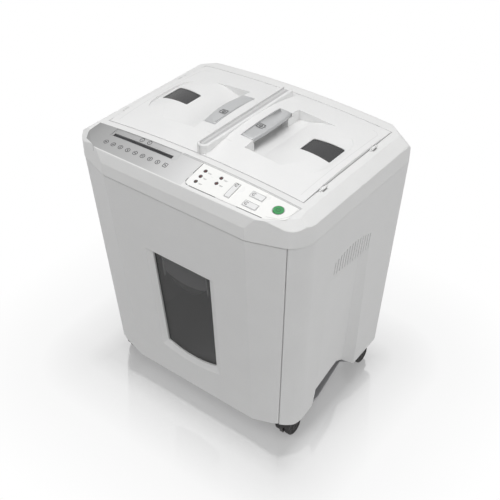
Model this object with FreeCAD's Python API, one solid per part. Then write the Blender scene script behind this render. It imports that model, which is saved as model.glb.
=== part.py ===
import FreeCAD, Part

import math
import os

# Paper shredder with an automatic feed bay: a wheeled cabinet with a pull-out bin, a head with a
# sloping control area and a card slot, and two lids over a paper bay.
# Millimetres, +Z up, front is -Y. Origin: on the floor, under the centre of the head.

V = FreeCAD.Vector

# ---- driving dimensions: head and cabinet ----
HEAD_HALF_WIDTH = 205.5
HEAD_FRONT = 155.5
HEAD_BACK = 155.5
HEAD_FACET_X = 129.0
HEAD_CORNER_Y = -129.8
CORNER_RADIUS = 41.0
BACK_CORNER_RADIUS = 14.0
FACET_RADIUS = 8.0
SKIN = 3.0
PARTING_Z = 411.0
FOOT_Z = 29.3
BASE_HALF_WIDTH = 188.1
BASE_FRONT = 124.3
BASE_BACK = 145.2
BASE_FACET_X = 119.6
BASE_CORNER_Y = -115.1
BODY_SET_BACK = 1.0

# ---- head top ----
RIM_HALF_WIDTH = 187.8
RIM_Z = 454.0
CROWN = 8.0
PANEL_TOP_Y = -99.5
PANEL_FRONT_Y = -150.5
PANEL_FRONT_Z = 448.5
CREASE_Z = 431.0
BEVEL_LOW_Z = 440.0
CARD_SLOT_X = (-142.0, -29.0)
CARD_SLOT_Y = -112.6
CARD_SLOT_WIDTH = 6.0
SLOT_PAD_MARGIN = 4.0
SLOT_PAD_DEPTH = 1.2

# ---- lids ----
LID_HALF_WIDTH = 175.0
LID_FRONT_Y = -87.7
LID_BACK_Y = 136.7
LID_GAP = 1.0
LID_SEAM = 0.6
LID_SKIN = 2.6
LID_SKIRT_Z = 444.0
LID_RISE_OUTER = 4.5
LID_RISE_INNER = 13.5
BEAD_HALF_WIDTH = 10.0
BEAD_TOP_Z = 476.5
BEAD_BACK_Y = 121.0
BEAD_EDGE = 1.8
GROOVE_HALF_WIDTH = 6.5
GROOVE_DEPTH = 3.5
RECESS_X = (24.0, 160.0)
RECESS_Y = (-45.0, 87.0)
RECESS_FLOOR_Z = 449.0
RECESS_CREASE = (68.0, 455.5)
RECESS_HUMP = (108.0, 463.8)
RECESS_END = (160.0, 457.2)
WINDOW_X = (104.0, 153.5)
WINDOW_Y = (5.2, 43.5)
WINDOW_SINK = 1.4
WINDOW_PANE = 1.6
GRIP_X = (23.7, 45.0)
GRIP_Y = (-25.5, 69.5)
GRIP_BULGE = 3.5
GRIP_PROUD = 1.2
GRIP_THICK = 7.0
POST_THICK = 2.4
SUPPORT_THICK = 10.0

# ---- lid hinges ----
HINGE_X = 177.6
HINGE_Z = 453.6
HINGE_Y = (-45.7, 81.6)
HINGE_BARREL = 2.0
HINGE_PIN = 1.1
HINGE_ARM_LENGTH = 10.0
HINGE_PIN_REACH = 3.0
RUN_CLEARANCE = 0.05
HINGE_NOTCH = 4.2

# ---- control area ----
OVERLAY_X = (17.6, 178.0)
OVERLAY_Y = (-143.5, -101.5)
OVERLAY_THICK = 0.5
LED_X = (31.0, 58.5)
LED_Y = (-134.0, -123.6, -113.0)
LED_RADIUS = 1.7
START_CENTRE = (158.6, -120.5)
START_RADIUS = 7.2
KEY_TALL = (81.0, 90.0, -137.0, -110.0)
KEY_UPPER = (110.5, 132.0, -120.0, -110.0)
KEY_LOWER = (111.5, 133.5, -138.0, -128.0)
KEY_PROUD = 0.9
KEY_CLEARANCE = 0.3
KEY_TRAVEL = 1.0
KEY_COLLAR = 1.4
KEY_BODY_DEPTH = 6.0
BOARD_Z = 431.0
BOARD_THICK = 1.6
SWITCH_HEIGHT = 3.0
BOARD_X = (22.0, 166.0)
BOARD_Y = (-137.0, -106.0)

# ---- bin drawer ----
SEAM_TOP_X = 184.0
SEAM_LOW_X = 166.0
SEAM_TOP_Z = 405.0
SEAM_LOW_Z = 42.7
SEAM_GAP = 1.0
DOOR_TOP_Z = 409.6
DOOR_WINDOW_TOP = 297.6
DOOR_WINDOW_LOW = 106.0
DOOR_WINDOW_HALF = (55.1, 50.5)
DOOR_WINDOW_SAG = 10.0
SURROUND = (12.5, 5.0)
SURROUND_DEPTH = 4.5
SURROUND_LEDGE = 0.8
BIN_HALF_WIDTH = 153.0
BIN_WALL = 2.4
BIN_FLOOR_Z = 54.0
BIN_TOP_Z = 312.0
BIN_BACK = 124.0
BIN_FRONT_LOW = -114.0
BIN_FRONT_TOP = -130.0

# ---- side panels ----
ARCH = ((-57.0, 47.5), (-52.0, 82.0), (22.7, 79.0), (66.0, 43.0))
FOOT_LINE_FRONT = 37.0
FOOT_LINE_BACK = 49.4
SIDE_RECESS_TOP = (-46.0, 57.0)
SIDE_RECESS_LOW = (-52.0, 68.0)
SIDE_RECESS_DEEP_Y = (35.0, 52.0)
SIDE_RECESS_DEPTH = (4.0, 15.0)
SIDE_RECESS_Z = (304.0, 43.0)
VENT_Y = (-41.0, 53.0)
VENT_COUNT = 14
VENT_WIDTH = 1.6
VENT_LOW_Z = (313.0, 301.0)
VENT_HIGH_Z = (335.0, 331.0)
VENT_BULGE = 9.0
VENT_LEAN = 2.5
VENT_DEPTH = 1.4

# ---- base and casters ----
PLATE_Z = (46.0, 50.0)
PLATE_GAP = 0.3
UPSTAND_X = 165.5
UPSTAND_Z = 92.0
CASTER_X = 163.0
CASTER_Y = (-96.0, 108.0)
CASTER_TRAIL = 10.0
WHEEL_RADIUS = 16.5
WHEEL_WIDTH = 11.0
WEB_THICK = 6.0
WHEEL_GAP = 0.5
HOOD_GAP = 1.2
HOOD_WALL = 1.6
AXLE_RADIUS = 2.5
STEM_RADIUS = 4.0
STEM_LENGTH = 15.0
TURRET_RADIUS = 10.0
TURRET_GAP = 0.3
SOCKET_WALL = 4.0

# ---- cutting unit ----
CUT_Y = (-86.0, 134.0)
END_PLATE = 4.0
CUTTER_Z = 362.0
CUTTER_X = 17.5
CUTTER_DISC = 19.0
CUTTER_CORE = 15.0
DISC_THICK = 4.6
DISC_PITCH = 10.0
SHAFT_RADIUS = 6.0
GEAR_TEETH = 20
GEAR_PITCH_RADIUS = 17.5
OUTPUT_TEETH = 24
GEAR_WIDTH = 8.0
TOOTH_ADDENDUM = 0.85
TOOTH_DEDENDUM = 1.15
TOOTH_ROOT_SHARE = 0.34
TOOTH_TIP_SHARE = 0.11
FEED_X = 14.5
FEED_Z = 400.0
FEED_TYRE_RADIUS = 13.0
FEED_SHAFT_RADIUS = 4.0
FEED_TYRE_Y = (-60.0, -5.0, 50.0, 105.0)
FEED_TYRE_WIDTH = 18.0
PULLEY_RADIUS = 8.0
PULLEY_WIDTH = 5.0
BELT_GAP = 0.3
BELT_THICK = 1.5
TIE_RADIUS = 3.5
BEARING_RADIUS = 11.0
PLATE_X = (-52.0, 128.0)
PLATE_LOW_Z = 334.0
PLATE_HIGH_Z = 410.0
RAIL_HEIGHT = 10.0
RAIL_WIDTH = 14.0

# ---- card cutter ----
CARD_CUT_Z = 390.0
CARD_CUT_SPREAD = 9.0
CARD_CUT_RADIUS = 9.8
CARD_CUT_CORE = 7.6
CARD_DISC_PITCH = 6.0
CARD_DISC_THICK = 2.6
CARD_SHAFT_RADIUS = 3.0
CARD_GEAR_TEETH = 15
CARD_GEAR_WIDTH = 5.0
CARD_PLATE = 2.0
CARD_MOTOR_RADIUS = 14.0
CARD_MOTOR_LENGTH = 34.0

# ---- paper bay ----
TRAY_EDGE_Z = 426.0
TRAY_THROAT_Z = 417.0
TRAY_THROAT_X = 29.0
TRAY_THICK = 2.5
TRAY_LIP_Z = 403.0
WELL_DEPTH_Z = 420.0

# ---- back ----
SCREW_X = (-170.0, 170.0)
SCREW_Z = (80.0, 240.0, 395.0)
SCREW_HEAD = 3.4
SCREW_SHANK = 1.5
SCREW_SINK = 2.0
FLANGE = 2.5
INLET_X = -120.0
ROCKER_X = -75.0
INLET_Z = 110.0
ROCKER_HALF = 10.5
REAR_HALF_WIDTH = 180.0
REAR_GAP = 0.15
AIR_SLOT_COUNT = 8
AIR_SLOT_PITCH = 9.0
AIR_SLOT_HEIGHT = 3.0
AIR_SLOT_LOW_Z = 300.0
AIR_SLOT_X = (40.0, 130.0)

# ---- helpers ----


def box(x0, x1, y0, y1, z0, z1):
    return Part.makeBox(x1 - x0, y1 - y0, z1 - z0, V(x0, y0, z0))


def cylinder(radius, length, base, axis):
    return Part.makeCylinder(radius, length, V(*base), V(*axis))


def mirrored(shape):
    return shape.mirror(V(0, 0, 0), V(1, 0, 0))


def fuse(shapes):
    return shapes[0].multiFuse(shapes[1:]).removeSplitter()


def prism_xy(points, z0, z1):
    """Upright prism over a polygon of (x, y) points."""
    wire = Part.makePolygon([V(x, y, z0) for x, y in points] + [V(points[0][0], points[0][1], z0)])
    return Part.Face(wire).extrude(V(0, 0, z1 - z0))


def prism_xz(points, y0, y1):
    wire = Part.makePolygon([V(x, y0, z) for x, z in points] + [V(points[0][0], y0, points[0][1])])
    return Part.Face(wire).extrude(V(0, y1 - y0, 0))


def prism_yz(points, x0, x1):
    wire = Part.makePolygon([V(x0, y, z) for y, z in points] + [V(x0, points[0][0], points[0][1])])
    return Part.Face(wire).extrude(V(x1 - x0, 0, 0))


def rounded_wire(corners, z):
    """Closed wire at height z through (x, y, radius) corners, each rounded by its radius."""
    count = len(corners)
    starts, mids, ends = [], [], []
    for i in range(count):
        here = V(corners[i][0], corners[i][1], z)
        before = V(corners[i - 1][0], corners[i - 1][1], z)
        after = V(corners[(i + 1) % count][0], corners[(i + 1) % count][1], z)
        radius = corners[i][2]
        to_before = (before - here).normalize()
        to_after = (after - here).normalize()
        half = to_before.getAngle(to_after) / 2
        reach = radius / math.tan(half)
        starts.append(here + to_before * reach)
        ends.append(here + to_after * reach)
        bisector = (to_before + to_after).normalize()
        mids.append(here + bisector * (radius / math.sin(half) - radius))
    edges = []
    for i in range(count):
        if corners[i][2] > 0:
            edges.append(Part.Arc(starts[i], mids[i], ends[i]).toShape())
        edges.append(Part.LineSegment(ends[i], starts[(i + 1) % count]).toShape())
    return Part.Wire(edges)


def half_space(a, b, c, keep):
    """Large block on the side of the plane a-b-c that faces away from the point keep."""
    a, b, c, keep = V(*a), V(*b), V(*c), V(*keep)
    normal = (b - a).cross(c - a).normalize()
    if (keep - a).dot(normal) > 0:
        normal = normal * -1
    size = 400.0
    block = Part.makeBox(size, size, size, V(-size / 2, -size / 2, 0))
    block.Placement = FreeCAD.Placement(a, FreeCAD.Rotation(V(0, 0, 1), normal))
    return block


def gear(teeth, pitch_radius, width, centre, axis, phase=0.0):
    """Spur gear with straight-flanked teeth, centred on its face, axis along X or Y."""
    module = 2 * pitch_radius / teeth
    root, tip = -TOOTH_DEDENDUM * module, TOOTH_ADDENDUM * module
    profile = ((-0.5, root), (-TOOTH_ROOT_SHARE, root), (-TOOTH_TIP_SHARE, tip), (TOOTH_TIP_SHARE, tip),
               (TOOTH_ROOT_SHARE, root))
    points = []
    for i in range(teeth):
        for turn, radius in profile:
            angle = 2 * math.pi * (i + phase + turn) / teeth
            reach = pitch_radius + radius
            points.append(V(reach * math.cos(angle), reach * math.sin(angle), 0))
    wire = Part.makePolygon(points + [points[0]])
    body = Part.Face(wire).extrude(V(0, 0, width))
    if axis == "Y":
        body.rotate(V(0, 0, 0), V(1, 0, 0), -90)
    else:
        body.rotate(V(0, 0, 0), V(0, 1, 0), 90)
    body.translate(V(*centre))
    return body


# ---- cabinet shell ----


def mix(low, high, z):
    """Value that runs from low at the foot to high at the parting line."""
    share = (z - FOOT_Z) / (PARTING_Z - FOOT_Z)
    return low + (high - low) * share


def body_outline(z, inset):
    half = mix(BASE_HALF_WIDTH, HEAD_HALF_WIDTH, z) - inset
    front = -mix(BASE_FRONT, HEAD_FRONT - BODY_SET_BACK, z) + inset
    back = mix(BASE_BACK, HEAD_BACK, z) - inset
    facet = mix(BASE_FACET_X, HEAD_FACET_X, z)
    corner_y = mix(BASE_CORNER_Y, HEAD_CORNER_Y + BODY_SET_BACK, z) + inset
    round_front = CORNER_RADIUS - inset
    round_back = BACK_CORNER_RADIUS - inset
    right = [(facet, front, FACET_RADIUS), (half, corner_y, round_front), (half, back, round_back)]
    left = [(-x, y, r) for x, y, r in reversed(right)]
    return rounded_wire(right + left, z)


def body_solid(inset, z0=FOOT_Z - 5, z1=PARTING_Z):
    return Part.makeLoft([body_outline(z0, inset), body_outline(z1, inset)], True, True)


def body_shell():
    return body_solid(0).cut(body_solid(SKIN, FOOT_Z - 6, PARTING_Z + 1))


def side_x(z):
    return mix(BASE_HALF_WIDTH, HEAD_HALF_WIDTH, z)


def seam_x(z):
    return SEAM_LOW_X + (SEAM_TOP_X - SEAM_LOW_X) * (z - SEAM_LOW_Z) / (SEAM_TOP_Z - SEAM_LOW_Z)


def door_region(offset):
    """Space in front of the cabinet between the two door seams, moved outward by offset."""
    y0, y1 = -HEAD_FRONT - 10, -100.0
    sections = []
    for z in (FOOT_Z - 8, PARTING_Z + 2):
        x = seam_x(z) + offset
        corners = [V(-x, y0, z), V(x, y0, z), V(x, y1, z), V(-x, y1, z), V(-x, y0, z)]
        sections.append(Part.makePolygon(corners))
    return Part.makeLoft(sections, True, True)


def door_y(z, inset=0.0):
    return -mix(BASE_FRONT, HEAD_FRONT - BODY_SET_BACK, z) + inset


def window_prism(grow, y0, y1, top_grow=None):
    """Window outline of the bin front, seen along Y, with a rounded foot."""
    top = DOOR_WINDOW_TOP + (grow if top_grow is None else top_grow)
    low = DOOR_WINDOW_LOW - grow
    half_top = DOOR_WINDOW_HALF[0] + grow
    half_low = DOOR_WINDOW_HALF[1] + grow
    edges = [
        Part.LineSegment(V(-half_low, y0, low), V(-half_top, y0, top)).toShape(),
        Part.LineSegment(V(-half_top, y0, top), V(half_top, y0, top)).toShape(),
        Part.LineSegment(V(half_top, y0, top), V(half_low, y0, low)).toShape(),
        Part.Arc(V(half_low, y0, low), V(0, y0, low - DOOR_WINDOW_SAG), V(-half_low, y0, low)).toShape(),
    ]
    return Part.Face(Part.Wire(edges)).extrude(V(0, y1 - y0, 0))


def window_surround():
    """Shallow splayed pocket around the bin window."""
    outer = []
    for grow, inset in ((SURROUND[0], -1.0), (SURROUND_LEDGE, SURROUND_DEPTH)):
        half_top = DOOR_WINDOW_HALF[0] + grow
        half_low = DOOR_WINDOW_HALF[1] + grow
        top = DOOR_WINDOW_TOP + grow * SURROUND[1] / SURROUND[0]
        low = DOOR_WINDOW_LOW - grow
        sag = DOOR_WINDOW_SAG
        y_top, y_low, y_mid = door_y(top, inset), door_y(low, inset), door_y(low - sag, inset)
        outer.append(Part.Wire([
            Part.LineSegment(V(-half_low, y_low, low), V(-half_top, y_top, top)).toShape(),
            Part.LineSegment(V(-half_top, y_top, top), V(half_top, y_top, top)).toShape(),
            Part.LineSegment(V(half_top, y_top, top), V(half_low, y_low, low)).toShape(),
            Part.Arc(V(half_low, y_low, low), V(0, y_mid, low - sag), V(-half_low, y_low, low)).toShape(),
        ]))
    return Part.makeLoft(outer, True, True)


def door_plate(front_inset, back_inset):
    """Slab parallel to the leaning bin front, between two depths behind its face."""
    low, high = FOOT_Z - 5, PARTING_Z
    points = [(door_y(low, front_inset), low), (door_y(high, front_inset), high),
              (door_y(high, back_inset), high), (door_y(low, back_inset), low)]
    return prism_yz(points, -90, 90)


def bin_front():
    shell = body_shell().common(door_region(-SEAM_GAP / 2))
    shell = shell.common(box(-200, 200, -200, 0, FOOT_Z, DOOR_TOP_Z))
    foot = [(-220, 0), (220, 0), (220, SEAM_LOW_Z + 15), (SEAM_LOW_X, SEAM_LOW_Z), (BASE_FACET_X, FOOT_Z),
            (-BASE_FACET_X, FOOT_Z), (-SEAM_LOW_X, SEAM_LOW_Z), (-220, SEAM_LOW_Z + 15)]
    shell = shell.cut(prism_xz(foot, -200, 0))
    backing = window_prism(SURROUND[0] + 3, -200, -80, SURROUND[1] + 3)
    backing = backing.common(door_plate(SKIN - 0.5, SURROUND_DEPTH + SKIN))
    shell = fuse([shell, backing])
    shell = shell.cut(window_surround())
    return shell.cut(window_prism(0, -200, -80))


def bin_window():
    pane = window_prism(3.0, -200, -80)
    return pane.common(door_plate(SURROUND_DEPTH + SKIN, SURROUND_DEPTH + SKIN + 2))


def bin_section(z, grow):
    share = (z - BIN_FLOOR_Z) / (BIN_TOP_Z - BIN_FLOOR_Z)
    front = BIN_FRONT_LOW + (BIN_FRONT_TOP - BIN_FRONT_LOW) * share - grow
    half = BIN_HALF_WIDTH + grow
    back = BIN_BACK + grow
    corners = [V(-half, front, z), V(half, front, z), V(half, back, z), V(-half, back, z)]
    return Part.makePolygon(corners + [corners[0]])


def bin_tub():
    outer = Part.makeLoft([bin_section(BIN_FLOOR_Z, 0), bin_section(BIN_TOP_Z, 0)], True, True)
    hollow = [bin_section(BIN_FLOOR_Z + BIN_WALL, -BIN_WALL), bin_section(BIN_TOP_Z + 5, -BIN_WALL)]
    tub = outer.cut(Part.makeLoft(hollow, True, True))
    tub = tub.cut(window_prism(6.0, -200, -80))
    # hand hole in the back wall
    hole = cylinder(22, 20, (0, BIN_BACK - 10, BIN_TOP_Z - 40), (0, 1, 0))
    tub = tub.cut(hole)
    # brackets that tie the tub to the bin front
    brackets = []
    for sign in (-1, 1):
        for z in (75.0, 290.0):
            share = (z - BIN_FLOOR_Z) / (BIN_TOP_Z - BIN_FLOOR_Z)
            wall = BIN_FRONT_LOW + (BIN_FRONT_TOP - BIN_FRONT_LOW) * share
            x = sign * 100.0
            block = box(x - 8, x + 8, door_y(z) - 5, wall + 1.5, z - 6, z + 6)
            brackets.append(block.common(body_solid(SKIN)))
    return fuse([tub] + brackets)


# ---- side panels ----


def side_recess(grow):
    """Tall tapering recess in the right side: shallow at its front edge, deepest near the back."""
    sections = []
    for index, z in enumerate(SIDE_RECESS_Z):
        ends = (SIDE_RECESS_TOP, SIDE_RECESS_LOW)[index]
        deep_y = SIDE_RECESS_DEEP_Y[index]
        depth = SIDE_RECESS_DEPTH[index] + grow
        x = side_x(z)
        points = [V(x + 8, ends[0] - grow, z), V(x, ends[0] - grow, z), V(x - depth, deep_y, z),
                  V(x, ends[1] + grow, z), V(x + 8, ends[1] + grow, z)]
        sections.append(Part.makePolygon(points + [points[0]]))
    return Part.makeLoft(sections, True, True)


def vent_grooves():
    grooves = []
    for i in range(VENT_COUNT):
        share = i / (VENT_COUNT - 1)
        y = VENT_Y[0] + (VENT_Y[1] - VENT_Y[0]) * share
        low = VENT_LOW_Z[0] + (VENT_LOW_Z[1] - VENT_LOW_Z[0]) * share
        high = VENT_HIGH_Z[0] + (VENT_HIGH_Z[1] - VENT_HIGH_Z[0]) * share
        high += VENT_BULGE * 4 * share * (1 - share)
        half = VENT_WIDTH / 2
        points = [(y - half, low), (y + half, low), (y + half + VENT_LEAN, high), (y - half + VENT_LEAN, high)]
        x0 = side_x((low + high) / 2) - VENT_DEPTH
        grooves.append(prism_yz(points, x0, x0 + 20))
    return Part.makeCompound(grooves)


def side_panel():
    shell = body_shell().common(box(0, 260, -200, 200, 0, PARTING_Z))
    shell = shell.cut(door_region(SEAM_GAP / 2))
    shell = shell.cut(rear_region(REAR_GAP))
    lining = side_recess(SKIN).common(body_solid(0)).common(box(0, 260, -200, 200, 0, SIDE_RECESS_Z[0]))
    flange = body_solid(SKIN).cut(body_solid(SKIN + FLANGE, FOOT_Z - 6, PARTING_Z + 1))
    flange = flange.common(box(162, 260, 120, 200, PLATE_Z[1] + 1, PARTING_Z))
    panel = fuse([shell, lining, flange])
    for x, face, z in screw_places():
        panel = panel.cut(cylinder(SCREW_SHANK, 30, (x, face - 20, z), (0, 1, 0)))
    panel = panel.cut(side_recess(0))
    panel = panel.cut(vent_grooves())
    low = [(-200, 0), (-200, SEAM_LOW_Z + 4), (-119, SEAM_LOW_Z - 1), (-98.8, FOOT_LINE_FRONT), ARCH[0], ARCH[1],
           ARCH[2], ARCH[3], (BASE_BACK, FOOT_LINE_BACK), (200, FOOT_LINE_BACK), (200, 0)]
    return panel.cut(prism_yz(low, 100, 260))


def rear_region(offset):
    return box(-REAR_HALF_WIDTH - offset, REAR_HALF_WIDTH + offset, 120, 200, 0, 500)


def rear_panel():
    panel = body_shell().common(rear_region(-REAR_GAP))
    panel = panel.common(box(-200, 200, 100, 200, FOOT_LINE_BACK, PARTING_Z))
    panel = panel.cut(box(INLET_X - 14.2, INLET_X + 14.2, 100, 200, INLET_Z - 10.2, INLET_Z + 10.2))
    panel = panel.cut(box(ROCKER_X - 15.2, ROCKER_X + 15.2, 100, 200, INLET_Z - 10.7, INLET_Z + 10.7))
    vents = []
    for row in range(AIR_SLOT_COUNT):
        low = AIR_SLOT_LOW_Z + AIR_SLOT_PITCH * row
        vents.append(box(AIR_SLOT_X[0], AIR_SLOT_X[1], 100, 200, low, low + AIR_SLOT_HEIGHT))
    panel = panel.cut(Part.makeCompound(vents))
    for x, face, z in screw_places():
        panel = panel.cut(cylinder(SCREW_HEAD + 0.2, 10, (x, face - SCREW_SINK, z), (0, 1, 0)))
        panel = panel.cut(cylinder(SCREW_SHANK, 20, (x, face - 10, z), (0, 1, 0)))
    return panel


# ---- head ----


def crown_z(x):
    return RIM_Z + CROWN * (1 - (x / LID_HALF_WIDTH) ** 2)


def arc_section(y, centre_z, edge_z, x_max, top):
    """Region above an arc across the head at one y, as a closed wire."""
    left, middle, right = V(-x_max, y, edge_z), V(0, y, centre_z), V(x_max, y, edge_z)
    return Part.Wire([
        Part.Arc(left, middle, right).toShape(),
        Part.LineSegment(right, V(x_max, y, top)).toShape(),
        Part.LineSegment(V(x_max, y, top), V(-x_max, y, top)).toShape(),
        Part.LineSegment(V(-x_max, y, top), left).toShape(),
    ])


def above_crown(drop):
    """Everything above the crowned top of the head, lowered by drop."""
    x_max = 220.0
    wire = arc_section(-200, crown_z(0) - drop, crown_z(x_max) - drop, x_max, 560)
    return Part.Face(wire).extrude(V(0, 400, 0))


def above_panel(drop):
    """Everything above the sloping control area, lowered by drop. It starts at the rim line."""
    x_max = 220.0
    sections = []
    for share in (-0.02, 1.1):
        y = PANEL_TOP_Y + (PANEL_FRONT_Y - PANEL_TOP_Y) * share
        base = crown_z(x_max) + (PANEL_FRONT_Z - crown_z(x_max)) * share
        centre = crown_z(0) + (PANEL_FRONT_Z - crown_z(0)) * share
        sections.append(arc_section(y, centre - drop, base - drop, x_max, 560))
    return Part.makeLoft(sections, True, True)


def head_solid(inset, z0):
    half = HEAD_HALF_WIDTH - inset
    front = -HEAD_FRONT + inset
    back = HEAD_BACK - inset
    right = [(HEAD_FACET_X, front, FACET_RADIUS), (half, HEAD_CORNER_Y + inset, CORNER_RADIUS - inset),
             (half, back, BACK_CORNER_RADIUS - inset)]
    left = [(-x, y, r) for x, y, r in reversed(right)]
    solid = Part.Face(rounded_wire(right + left, z0)).extrude(V(0, 0, 560 - z0))
    solid = solid.cut(above_crown(inset))
    solid = solid.cut(above_panel(inset))
    centre = (0, 0, 300)
    d = inset
    facet = half_space((0, PANEL_FRONT_Y + d, PANEL_FRONT_Z), (50, PANEL_FRONT_Y + d, PANEL_FRONT_Z),
                       (0, -HEAD_FRONT + d, CREASE_Z), centre)
    solid = solid.cut(facet)
    side = half_space((RIM_HALF_WIDTH - d, 0, RIM_Z - 1), (RIM_HALF_WIDTH - d, 50, RIM_Z - 1),
                      (HEAD_HALF_WIDTH - d, 0, BEVEL_LOW_Z), centre)
    corner = half_space((184.5 - d, -120 + d, 452), (152 - d, PANEL_FRONT_Y + d, PANEL_FRONT_Z),
                        (198 - d, -128 + d, 437), centre)
    rear = half_space((182.8 - d, 143.3 - d, 453.5), (167.7 - d, 155 - d, 454.5), (203 - d, 151 - d, 431), centre)
    for cutter in (side, corner, rear):
        solid = solid.cut(cutter)
        solid = solid.cut(mirrored(cutter))
    return solid


def key_prism(limits, grow, z0, z1):
    x0, x1, y0, y1 = limits
    return box(x0 - grow, x1 + grow, y0 - grow, y1 + grow, z0, z1)


def start_prism(grow, z0, z1):
    return cylinder(START_RADIUS + grow, z1 - z0, (START_CENTRE[0], START_CENTRE[1], z0), (0, 0, 1))


def control_holes(grow):
    holes = [key_prism(limits, grow, 400, 500) for limits in (KEY_TALL, KEY_UPPER, KEY_LOWER)]
    holes.append(start_prism(grow, 400, 500))
    return holes


def led_positions():
    places = [(LED_X[0], y) for y in LED_Y]
    places += [(LED_X[1], y) for y in LED_Y[1:]]
    return places


def panel_z(x, y):
    share = (y - PANEL_TOP_Y) / (PANEL_FRONT_Y - PANEL_TOP_Y)
    return crown_z(x) + (PANEL_FRONT_Z - crown_z(x)) * share


def overlay_prism(grow):
    x0, x1 = OVERLAY_X
    y0, y1 = OVERLAY_Y
    corners = [(x0, y0, 5), (x1 - 26, y0, 12), (x1, y0 + 14, 8), (x1, y1, 1), (x0, y1, 2)]
    grown = [(x + (grow if x > 100 else -grow), y + (grow if y > -120 else -grow), r) for x, y, r in corners]
    return Part.Face(rounded_wire(grown, 430)).extrude(V(0, 0, 60))


def hinge_notch(y, grow=0.0):
    half = HINGE_ARM_LENGTH / 2 + 0.6 + grow
    return box(LID_HALF_WIDTH - 2, HINGE_X + HINGE_NOTCH + grow, y - half, y + half,
               HINGE_Z - HINGE_NOTCH - grow, 470)


def head_cover():
    outer = head_solid(0, PARTING_Z)
    cover = outer.cut(head_solid(SKIN, PARTING_Z - 5))
    # well around the lids
    x, y0, y1 = LID_HALF_WIDTH + LID_GAP, LID_FRONT_Y - LID_GAP, LID_BACK_Y + LID_GAP
    well = box(-x - SKIN, x + SKIN, y0 - SKIN, y1 + SKIN, WELL_DEPTH_Z, 460).common(outer)
    bosses = []
    for y in HINGE_Y:
        half = HINGE_ARM_LENGTH / 2 + HINGE_PIN_REACH + 3
        for sign in (-1, 1):
            block = box(LID_HALF_WIDTH + LID_GAP, HINGE_X + 7, y - half, y + half, HINGE_Z - 8, 456)
            bosses.append((block if sign > 0 else mirrored(block)).common(outer))
        for start in (y - half + 2.0, y + HINGE_ARM_LENGTH / 2 + 0.6):
            knuckle = cylinder(HINGE_BARREL, HINGE_PIN_REACH + 0.4, (HINGE_X, start, HINGE_Z), (0, 1, 0))
            bosses += [knuckle, mirrored(knuckle)]
    cover = fuse([cover, well] + bosses)
    cover = cover.cut(box(-x, x, y0, y1, PARTING_Z - 10, 480))
    for y in HINGE_Y:
        notch = hinge_notch(y)
        half = HINGE_ARM_LENGTH / 2 + HINGE_PIN_REACH + 0.5
        bore = cylinder(HINGE_PIN + RUN_CLEARANCE, 2 * half, (HINGE_X, y - half, HINGE_Z), (0, 1, 0))
        for cutter in (notch, bore):
            cover = cover.cut(cutter)
            cover = cover.cut(mirrored(cutter))
    # card slot in its shallow pad
    slot = box(CARD_SLOT_X[0], CARD_SLOT_X[1], CARD_SLOT_Y - CARD_SLOT_WIDTH / 2,
               CARD_SLOT_Y + CARD_SLOT_WIDTH / 2, 400, 480)
    pad_margin = SLOT_PAD_MARGIN
    pad = box(CARD_SLOT_X[0] - pad_margin, CARD_SLOT_X[1] + 2 * pad_margin, CARD_SLOT_Y - CARD_SLOT_WIDTH / 2 - 1,
              PANEL_TOP_Y - 1, 430, 480).common(above_panel(SLOT_PAD_DEPTH))
    cover = cover.cut(pad).cut(slot)
    # pocket for the overlay, holes for keys and lamps
    cover = cover.cut(overlay_prism(0.3).common(above_panel(OVERLAY_THICK)))
    for hole in control_holes(KEY_CLEARANCE):
        cover = cover.cut(hole)
    for lx, ly in led_positions():
        cover = cover.cut(cylinder(LED_RADIUS + 0.1, 60, (lx, ly, 425), (0, 0, 1)))
    # posts that hold the control board
    posts = []
    for px in (BOARD_X[0] + 4, (BOARD_X[0] + BOARD_X[1]) / 2, BOARD_X[1] - 4):
        post = cylinder(2.5, 60, (px, BOARD_Y[1] - 2.5, BOARD_Z + BOARD_THICK), (0, 0, 1))
        posts.append(post.common(outer).cut(above_panel(OVERLAY_THICK + 1)))
    return fuse([cover] + posts)


def control_overlay():
    sheet = overlay_prism(0).common(above_panel(OVERLAY_THICK)).cut(above_panel(0))
    for hole in control_holes(KEY_CLEARANCE):
        sheet = sheet.cut(hole)
    for lx, ly in led_positions():
        sheet = sheet.cut(cylinder(LED_RADIUS + 0.1, 60, (lx, ly, 425), (0, 0, 1)))
    return sheet


def indicator_leds():
    lamps = []
    for lx, ly in led_positions():
        top = panel_z(lx, ly) - 0.2
        stem = cylinder(LED_RADIUS, top - BOARD_Z - BOARD_THICK, (lx, ly, BOARD_Z + BOARD_THICK), (0, 0, 1))
        dome = Part.makeSphere(LED_RADIUS, V(lx, ly, top)).common(box(lx - 3, lx + 3, ly - 3, ly + 3, top, top + 3))
        lamps.append(stem.fuse(dome).removeSplitter())
    return Part.makeCompound(lamps)


def key_shape(cap, collar):
    """Key whose top follows the control area, with a collar that holds it under the cover."""
    top = cap.cut(above_panel(-KEY_PROUD)).common(above_panel(KEY_BODY_DEPTH))
    ring = collar.cut(above_panel(SKIN + OVERLAY_THICK + 0.4)).common(above_panel(KEY_BODY_DEPTH))
    return fuse([top, ring])


def key_stem(x, y):
    low = BOARD_Z + BOARD_THICK + SWITCH_HEIGHT + KEY_TRAVEL + 0.2
    top = panel_z(x, y) - KEY_BODY_DEPTH + 1.0
    return cylinder(2.0, top - low, (x, y, low), (0, 0, 1))


def key_centre(limits):
    return (limits[0] + limits[1]) / 2, (limits[2] + limits[3]) / 2


def square_key(limits):
    body = key_shape(key_prism(limits, 0, 430, 480), key_prism(limits, KEY_COLLAR, 430, 480))
    return fuse([body, key_stem(*key_centre(limits))])


def start_button():
    body = key_shape(start_prism(0, 430, 480), start_prism(KEY_COLLAR, 430, 480))
    return fuse([body, key_stem(*START_CENTRE)])


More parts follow.
